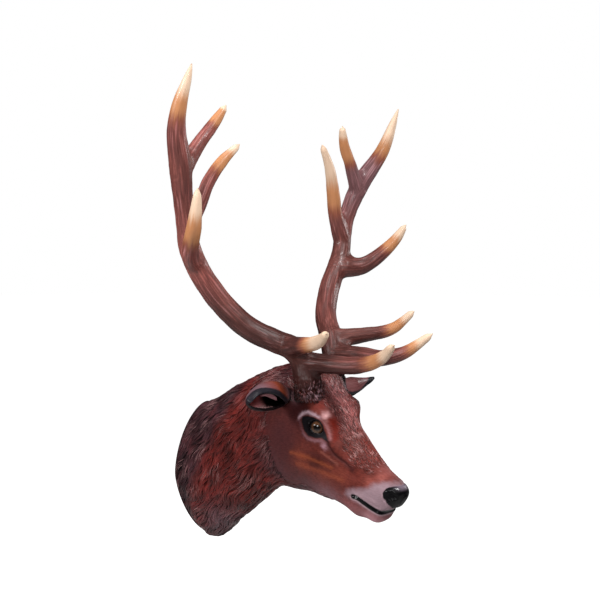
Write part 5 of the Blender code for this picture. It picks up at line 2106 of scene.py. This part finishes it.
@dataclass
class LimbPath:
    """A limb's centre line with frames: points, ways, two cross axes, radii and lengths."""

    points: Array
    way: Array
    first: Array
    second: Array
    radii: Array
    run: Array
    cream: float
    amber: float

    @classmethod
    def along(cls, limb: Limb, side: Side, spacing: float, rounding: float = 0.06) -> "LimbPath":
        """Samples a limb evenly, rounds its end and carries a frame along it without twist.

        Args:
            limb: the beam or tine.
            side: the side it stands on.
            spacing: about how far apart the samples lie.
            rounding: the share of its length over which its end is rounded.

        Returns:
            The path.
        """
        control = np.array([place(side.value * x, f, z) for x, f, z in limb.points])
        dense = np.linspace(0.0, len(control) - 1.0, 400)
        line = through(control, dense)
        thick = through(np.array(limb.radii)[:, None], dense)[:, 0]
        length = np.concatenate([[0.0], np.cumsum(np.linalg.norm(np.diff(line, axis=0), axis=1))])
        count = max(12, int(length[-1] / spacing))
        bunch = 1.0 - (1.0 - np.linspace(0.0, 1.0, count)) ** 1.25
        wanted = bunch * length[-1]
        at = np.interp(wanted, length, dense)
        points = np.stack([np.interp(at, dense, line[:, k]) for k in range(3)], axis=-1)
        late = np.clip((at / dense[-1] - (1.0 - rounding)) / rounding, 0.0, 0.97)
        radii = np.interp(at, dense, thick) * np.sqrt(1.0 - late**2)
        way = unit(np.gradient(points, axis=0))
        first = [unit(np.cross(way[0], [0.3, 0.2, 1.0]))]
        for step in way[1:]:
            first.append(unit(first[-1] - step * (first[-1] @ step)))
        first = np.array(first)
        return cls(points, way, first, np.cross(way, first), radii, wanted, limb.cream, limb.amber)

    def swollen(self, swell: float, inside: "LimbPath | None") -> "LimbPath":
        """The path of a thicker limb, longer by the same amount at both ends.

        Args:
            swell: how much thicker.
            inside: the beam that this limb grows from, which bounds its root's radius.

        Returns:
            The thicker path.
        """
        radii = self.radii
        if inside is not None:
            gap = np.linalg.norm(self.points[:, None] - inside.points[None], axis=-1)
            beam = inside.radii[gap.argmin(axis=1)]
            radii = np.minimum(radii, 0.92 * beam + 0.9 * np.maximum(gap.min(axis=1) - 0.25 * beam, 0.0))
        turn = np.array([0.35, 0.75, 1.1, 1.4])
        index = np.concatenate([[0], np.arange(len(radii)), np.full(4, len(radii) - 1)])
        shift = np.concatenate([[-swell], np.zeros(len(radii)), swell * np.sin(turn)])
        thick = np.concatenate([radii[:1] + swell, radii + swell, radii[-1] + swell * np.cos(turn)])
        return LimbPath(self.points[index] + self.way[index] * shift[:, None], self.way[index],
                        self.first[index], self.second[index], thick, self.run[index], self.cream, self.amber)

    def tube(self, sides: int) -> tuple[Array, list[Whole]]:
        """Points and faces of a closed tube round the path.

        Args:
            sides: how many points go round.

        Returns:
            The points, and the faces in groups.
        """
        turn = turns(sides)[None, :, None]
        ring = np.cos(turn) * self.first[:, None] + np.sin(turn) * self.second[:, None]
        grid = self.points[:, None] + ring * self.radii[:, None, None]
        ends = [self.points[0], self.points[-1] + self.way[-1] * self.radii[-1] * 0.3]
        return np.vstack([grid.reshape(-1, 3), ends]), tube_faces(len(self.points), sides)


class Antler:
    """One antler: beam and tines fused, smoothed at the forks, grooved and painted."""

    VOXEL = 0.0024
    SIDES = 32
    SWELL = 0.008  # the limbs are fused this much thicker and thinned again, which fills the forks
    GROOVE = 0.0008
    FILLET_STEPS = 26
    BURR_HEIGHT = 0.293
    BATCH = 8000
    SHINE = 0.04
    STAIN = {  # how bright the brown is at each height, in part painted light from above and painted shade near the head
        Side.LEFT: ((0.37, 0.42), (0.44, 1.08), (0.52, 0.84), (0.6, 0.64), (0.68, 1.0), (0.8, 1.25)),
        Side.RIGHT: ((0.41, 0.38), (0.46, 0.5), (0.53, 1.45), (0.58, 1.75), (0.66, 1.2), (0.8, 1.1),
                     (0.92, 1.4)),
    }
    # the pink of the ridges is dry brush and in part a painted sheen
    BROWNS, GREY, ROSE = ((112, 62, 57), (142, 82, 74)), (140, 110, 118), (180, 146, 152)
    # the foot's dark is dark paint and in part painted shade under the brow tine
    FOOT, SIENNA, AMBER, CREAM = (46, 18, 15), (124, 70, 54), (168, 114, 76), (200, 172, 148)

    def __init__(self, side: Side, noise: Noise) -> None:
        """Samples the limbs."""
        self.side, self.noise = side, noise
        self.paths = [LimbPath.along(limb, side, 0.005) for limb in LIMBS[side]]

    def fused(self) -> tuple[Array, Whole, Whole]:
        """Joins the swollen tubes through a voxel remesh.

        Returns:
            The points, the quads and the edges of the joined surface.
        """
        points, faces, first = [], [], 0
        for path in self.paths:
            path = path.swollen(self.SWELL, None if path is self.paths[0] else self.paths[0])
            spots, groups = path.tube(self.SIDES)
            points.append(spots)
            for group in groups:
                faces.extend((group + first).tolist())
            first += len(spots)
        mesh = bpy.data.meshes.new("limbs")
        mesh.from_pydata(np.vstack(points).tolist(), [], faces)
        holder = add_object("limbs", mesh)
        remesh = holder.modifiers.new("fuse", "REMESH")
        remesh.mode = "VOXEL"
        remesh.voxel_size = self.VOXEL
        graph = bpy.context.evaluated_depsgraph_get()
        graph.update()
        joined = bpy.data.meshes.new_from_object(holder.evaluated_get(graph))
        bpy.data.objects.remove(holder, do_unlink=True)
        arrays = []
        for items, key, width, kind in (
                (joined.vertices, "co", 3, float), (joined.loops, "vertex_index", 1, np.int32),
                (joined.edges, "vertices", 2, np.int32)):
            arrays.append(np.empty(len(items) * width, dtype=kind))
            items.foreach_get(key, arrays[-1])
        bpy.data.meshes.remove(joined)
        return arrays[0].reshape(-1, 3), arrays[1].reshape(-1, 4).astype(np.int64), arrays[2].reshape(-1, 2)

    @staticmethod
    def smoothed(points: Array, edges: Whole, share: Array, steps: int) -> Array:
        """Moves points towards the mean of their neighbours, by a share for each point.

        Args:
            points: the points.
            edges: pairs of neighbours.
            share: how far each point moves.
            steps: how many times.

        Returns:
            The moved points.
        """
        count = len(points)
        ends = np.concatenate([edges, edges[:, ::-1]])
        degree = np.bincount(ends[:, 0], minlength=count)[:, None]
        for _ in range(steps):
            mean = np.stack([np.bincount(ends[:, 0], points[ends[:, 1], k], count) for k in range(3)], -1)
            points = points + (mean / degree - points) * share[:, None]
        return points

    def forks(self) -> Array:
        """Where each tine starts and where it leaves the beam.

        Returns:
            The places, one row each.
        """
        beam = self.paths[0]
        spots = [path.points[0] for path in self.paths[1:]]
        for path in self.paths[1:]:
            gap = np.linalg.norm(path.points[:, None] - beam.points[None], axis=-1)
            clear = gap.min(axis=1) - beam.radii[gap.argmin(axis=1)]
            spots.append(path.points[np.argmax(clear > 0.2 * path.radii)])
        return np.array(spots)

    def nearest(self, points: Array, path: LimbPath) -> Whole:
        """The path's point nearest to each point, found for a batch of points at a time.

        Args:
            points: the points.
            path: the limb's path.

        Returns:
            An index into the path for each point.
        """
        found = []
        for start in range(0, len(points), self.BATCH):
            batch = points[start:start + self.BATCH]
            square = (np.sum(batch**2, 1)[:, None] - 2.0 * batch @ path.points.T
                      + np.sum(path.points**2, 1)[None])
            found.append(square.argmin(axis=1))
        return np.concatenate(found)

    def limb_fields(self, points: Array) -> dict[str, Array]:
        """What grooves and paint need at each point, blended over the limbs near it.

        Args:
            points: the surface's points.

        Returns:
            Groove noise, fine noise, the shares of cream and amber, and the strand coordinates.
        """
        weights, values, strands = [], [], []
        for number, path in enumerate(self.paths):
            nearest = self.nearest(points, path)
            offset = points - path.points[nearest]
            ahead = np.sum(offset * path.way[nearest], -1)
            cross = offset - path.way[nearest] * ahead[:, None]
            x, y = np.sum(cross * path.first[nearest], -1), np.sum(cross * path.second[nearest], -1)
            run = path.run[nearest] + np.clip(ahead, -0.004, 0.02)
            apart = np.linalg.norm(offset, axis=-1) / path.radii[nearest]
            weights.append(np.exp(-6.0 * np.clip(apart, 0.0, 12.0)))
            angle = np.arctan2(y, x)
            ring = np.stack([np.cos(angle), np.sin(angle)], -1) * 0.022
            twist = self.noise.at(np.column_stack([run / 0.06, np.full_like(run, number * 7.0), run * 0.0]))
            groove = self.noise.at(np.column_stack([ring / 0.0038, run / 0.085 + number * 9.0 + 0.5 * twist]))
            fine = self.noise.at(np.column_stack([ring / 0.0024, run / 0.06 + number * 5.0]))
            left = path.run[-1] - run
            left = left + 0.012 * groove * np.minimum(left / 0.05, 1.0)
            values.append([groove, fine, 1.0 - ease(0.55 * path.cream, 1.5 * path.cream, left),
                           1.0 - ease(0.7 * path.amber, 1.25 * path.amber, left)])
            strands.append(np.column_stack([0.4 * run + number, x, y]))
        weight = np.stack(weights)
        weight = weight / weight.sum(axis=0)
        mixed = np.sum(weight[:, None] * np.array(values), axis=0)
        fields = dict(zip(("groove", "fine", "cream", "amber"), mixed))
        fields["strand"] = np.stack(strands)[weight.argmax(axis=0), np.arange(len(points))]
        return fields

    def build(self, material: bpy.types.Material) -> bpy.types.Object:
        """Makes the finished antler.

        Args:
            material: the finish.

        Returns:
            The piece.
        """
        points, quads, edges = self.fused()
        near = np.zeros(len(points))
        for spot in self.forks():
            near = np.maximum(near, bell(far_from(points, spot), 0.026))
        points = self.smoothed(points, edges, np.full(len(points), 0.5), 3)
        points = points - self.normals(points, quads) * self.SWELL
        points = self.smoothed(points, edges, 0.9 * near, self.FILLET_STEPS)
        fields = self.limb_fields(points)
        normals = self.normals(points, quads)
        polish = 1.0 - fields["amber"]
        burr = bell(points[:, 2] - self.BURR_HEIGHT, 0.0085)
        pearls = np.maximum(0.0, self.noise.at(points, 0.0065)) * (0.35 + 0.6 * near)
        cut = np.abs(fields["groove"]) ** 0.8
        rise = polish * (self.GROOVE * (1.3 * cut - 0.55) + 0.0004 * fields["fine"] + 0.0007 * pearls)
        rise = rise + burr * (0.0006 + 0.0012 * self.noise.at(points, 0.0095))
        bulge = 0.0008 * self.noise.at(points, 0.03)
        points = points + normals * (rise + bulge)[:, None]
        colour, carve, calm = self.paint(points, fields, cut, pearls, polish)
        turn = np.arctan2(fields["strand"][:, 2], fields["strand"][:, 1])
        uv = np.column_stack([turn / WRAP + 0.5, fields["strand"][:, 0] % 1.0])
        shine = self.SHINE * ease(0.42, 0.5, points[:, 2])
        sheet = Sheet(points, [quads], colour, shine, fields["strand"], carve, uv, calm)
        nodes = [f"antler_{self.side.word}_{part}" for part in ANTLER_NODES]
        return keep_piece(sheet.to_object(f"{self.side.word}_antler", material), Slot.ANTLER, *nodes)

    @staticmethod
    def normals(points: Array, quads: Whole) -> Array:
        """Point normals as the sum of the quads' normals round each point.

        Args:
            points: the points.
            quads: the faces.

        Returns:
            One unit normal for each point.
        """
        a, b, c, d = (points[quads[:, k]] for k in range(4))
        face = np.cross(c - a, d - b)
        total = np.stack([np.bincount(quads.ravel(), np.repeat(face[:, k], 4), len(points))
                          for k in range(3)], axis=-1)
        return unit(total)

    def paint(self, points: Array, fields: dict[str, Array], cut: Array, pearls: Array,
              polish: Array) -> tuple[Array, Array, Array]:
        """Brown in the grooves, greyish pink on the ridges that is partly a painted sheen, amber and cream
        towards the tips.

        Args:
            points: the surface's points.
            fields: what limb_fields() gives.
            cut: how strong the grooves are.
            pearls: how high the pearls stand.
            polish: 1 on the brown part, 0 on the tips.

        Returns:
            The colours, the carving and where paint and relief are smooth.
        """
        patchy = np.clip(0.5 + 0.7 * self.noise.at(points, 0.07), 0.0, 1.0)[:, None]
        height, far = points[:, 2], self.side is Side.LEFT
        tine = 0.9 * ease(0.46, 0.55, -points[:, 1]) * ease(0.46, 0.42, height)
        # brown brightness by height: in part painted light from above and painted shade near the head
        stain = np.maximum(np.interp(height, *np.array(self.STAIN[self.side]).T), tine)[:, None]
        brown = blend(*(tone(*colour) for colour in self.BROWNS), patchy) * stain
        brown = painted(brown, self.GREY, far * 0.55 * ease(0.66, 0.78, height))
        # pink on the ridges: dry brush and in part a painted sheen, more on the far antler's upper part
        pink = np.clip(0.45 + 0.9 * self.noise.at(points + 3.0, 0.045), 0.0, 1.0)
        rosy = 0.24 + 0.4 * ease(0.68, 0.8, height) if far else 0.34
        cream, amber = fields["cream"], fields["amber"]
        colour = blend(brown * 0.52, brown * 1.04, ease(0.2, 0.7, cut)[:, None])
        for over, share in ((self.ROSE, rosy * pink * ease(0.45, 0.95, cut)),
                            # dark foot: dark paint and in part painted shade under the brow tine
                            (self.FOOT, 0.94 * (1.0 - ease(0.305, 0.35, height))),
                            (self.SIENNA, ease(0.0, 0.45, amber)), (self.AMBER, ease(0.35, 0.95, amber)),
                            (self.CREAM, ease(0.1, 1.0, cream))):
            colour = painted(colour, over, share)
        carve = 0.45 * polish * ease(0.4, 0.9, cut) + 0.2 * np.minimum(pearls, 1.0)
        return colour, carve, 0.25 + 0.7 * (1.0 - polish)


# ---- studio ----


@dataclass(frozen=True)
class Softbox:
    """A square area light, placed from the object's middle in the camera's own directions."""

    name: str
    right: float
    up: float
    toward: float
    size: float
    power: float
    colour: Triple = (1.0, 1.0, 1.0)


@dataclass(frozen=True)
class Studio:
    """Camera, softboxes, pale floor and pale surroundings."""

    target: Triple = (0.0, 0.35, 0.48)
    azimuth_deg: float = 48.05
    elevation_deg: float = 2.13
    distance: float = 2.2767
    lens: float = 54.0
    floor_height: float = -0.95
    fill: float = 0.05  # how brightly the surroundings light the object
    reach: float = 40.0  # half the floor's width
    floor_grey: float = 0.62
    softboxes: tuple[Softbox, ...] = (
        Softbox("key", 1.3, 2.0, 1.7, 0.6, 86.0),
        Softbox("fill", -1.9, 0.8, 1.2, 0.5, 50.0),
        Softbox("front", -0.2, 0.5, 2.4, 0.6, 30.0),
        Softbox("top", -0.3, 2.4, 0.2, 0.8, 30.0),
        Softbox("rim", 1.9, 0.7, -1.3, 0.6, 16.0),
    )

    def directions(self) -> tuple[Array, Array, Array]:
        """Right, up and towards the camera, as unit vectors.

        Returns:
            The three vectors.
        """
        turn, rise = math.radians(self.azimuth_deg), math.radians(self.elevation_deg)
        level = math.cos(rise)
        toward = np.array([-math.sin(turn) * level, -math.cos(turn) * level, math.sin(rise)])
        right = unit(np.cross(-toward, [0.0, 0.0, 1.0]))
        return right, np.cross(right, -toward), toward

    def build(self) -> None:
        """Sets up everything round the object."""
        right, up, toward = self.directions()
        middle = place(*self.target)
        camera = bpy.data.cameras.new("camera")
        camera.lens, camera.sensor_width = self.lens, 36.0
        holder = add_object("camera", camera)
        holder.location = Vector(middle + toward * self.distance)
        holder.rotation_euler = Vector(toward).to_track_quat("Z", "Y").to_euler()
        bpy.context.scene.camera = holder
        for box in self.softboxes:
            light = bpy.data.lights.new(box.name, "AREA")
            light.shape, light.size, light.energy, light.color = "SQUARE", box.size, box.power, box.colour
            offset = Vector(right * box.right + up * box.up + toward * box.toward)
            lamp = add_object(box.name, light)
            lamp.location = Vector(middle) + offset
            lamp.rotation_euler = offset.to_track_quat("Z", "Y").to_euler()
        self.surroundings()
        self.floor()
        bpy.context.scene.view_settings.view_transform = "Standard"

    def surroundings(self) -> None:
        """Even pale surroundings: white to the camera, and a faint fill for the object."""
        world = bpy.data.worlds.new("surroundings")
        bpy.context.scene.world = world
        world.use_nodes = True
        tree = world.node_tree
        sky = tree.nodes["Background"]
        path, level = (tree.nodes.new(f"ShaderNode{kind}") for kind in ("LightPath", "MapRange"))
        set_inputs(level, {"To Min": self.fill, "To Max": 1.0})
        set_inputs(sky, {"Color": WHITE})
        tree.links.new(path.outputs["Is Camera Ray"], level.inputs["Value"])
        tree.links.new(level.outputs["Result"], sky.inputs["Strength"])

    def floor(self) -> None:
        """A wide pale floor well below the head."""
        mesh = bpy.data.meshes.new("floor")
        mesh.from_pydata([(x * self.reach, y * self.reach, self.floor_height)
                          for x, y in ((-1, -1), (1, -1), (1, 1), (-1, 1))], [], [(0, 1, 2, 3)])
        material = bpy.data.materials.new("floor_white")
        material.use_nodes = True
        tree = material.node_tree
        shader = tree.nodes["Principled BSDF"]
        grey = self.floor_grey
        set_inputs(shader, {"Base Color": (grey, grey, grey, 1.0), "Roughness": 0.9, "Emission Color": WHITE})
        path = tree.nodes.new("ShaderNodeLightPath")
        tree.links.new(path.outputs["Is Camera Ray"], shader.inputs["Emission Strength"])
        mesh.materials.append(material)
        add_object("floor", mesh)


FINISHES = (  # name, streak, dry brush and painted glints, relief, specular, matt
    ("carved_hair", 0.6, 0.6, 0.0009, 0.16),
    ("carved_curls", 0.55, 0.7, 0.0006),
    ("painted_face", 0.45, 0.35, 0.0005, 0.08, 0.42),
    ("wet_gloss", 0.0, 0.0, 0.0, 0.08),
    ("ear_paint", 0.45, 0.45, 0.0004, 0.1),
    ("antler_paint", 0.5, 0.6, 0.0005, 0.25, 0.33),
)


def main() -> None:
    """Builds the pieces in order and reports each."""
    logging.basicConfig(level=logging.INFO, format="%(name)s %(message)s")
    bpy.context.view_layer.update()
    Studio().build()
    group = paint_group()
    hair, curls, face, glossy, ear_paint, horn = (ResinPaint(*values).material(group) for values in FINISHES)
    noise = Noise(7)
    markings = Markings(noise)
    form = BodyForm()
    eyes = [EyePlace(side) for side in Side]
    skin = Skin(form, markings, noise, eyes)
    keep_piece(skin.build(face), Slot.COAT, "neck", "head", "lower_jaw", "nose_pad")
    fur = Fur(form, markings, noise)
    for piece in fur.build_neck(hair) + fur.build_head(curls):
        keep_piece(piece, Slot.COAT)
    for spot in eyes:
        eye = Eye(spot, skin.lid_shapes[spot.side], noise)
        eye.ball(glossy)
        eye.lids(glossy)
    for side in Side:
        Ear(side, noise).build(ear_paint, markings)
        Antler(side, noise).build(horn)
        FootTufts(side, markings, noise).make(curls)


if __name__ == "__main__":
    main()
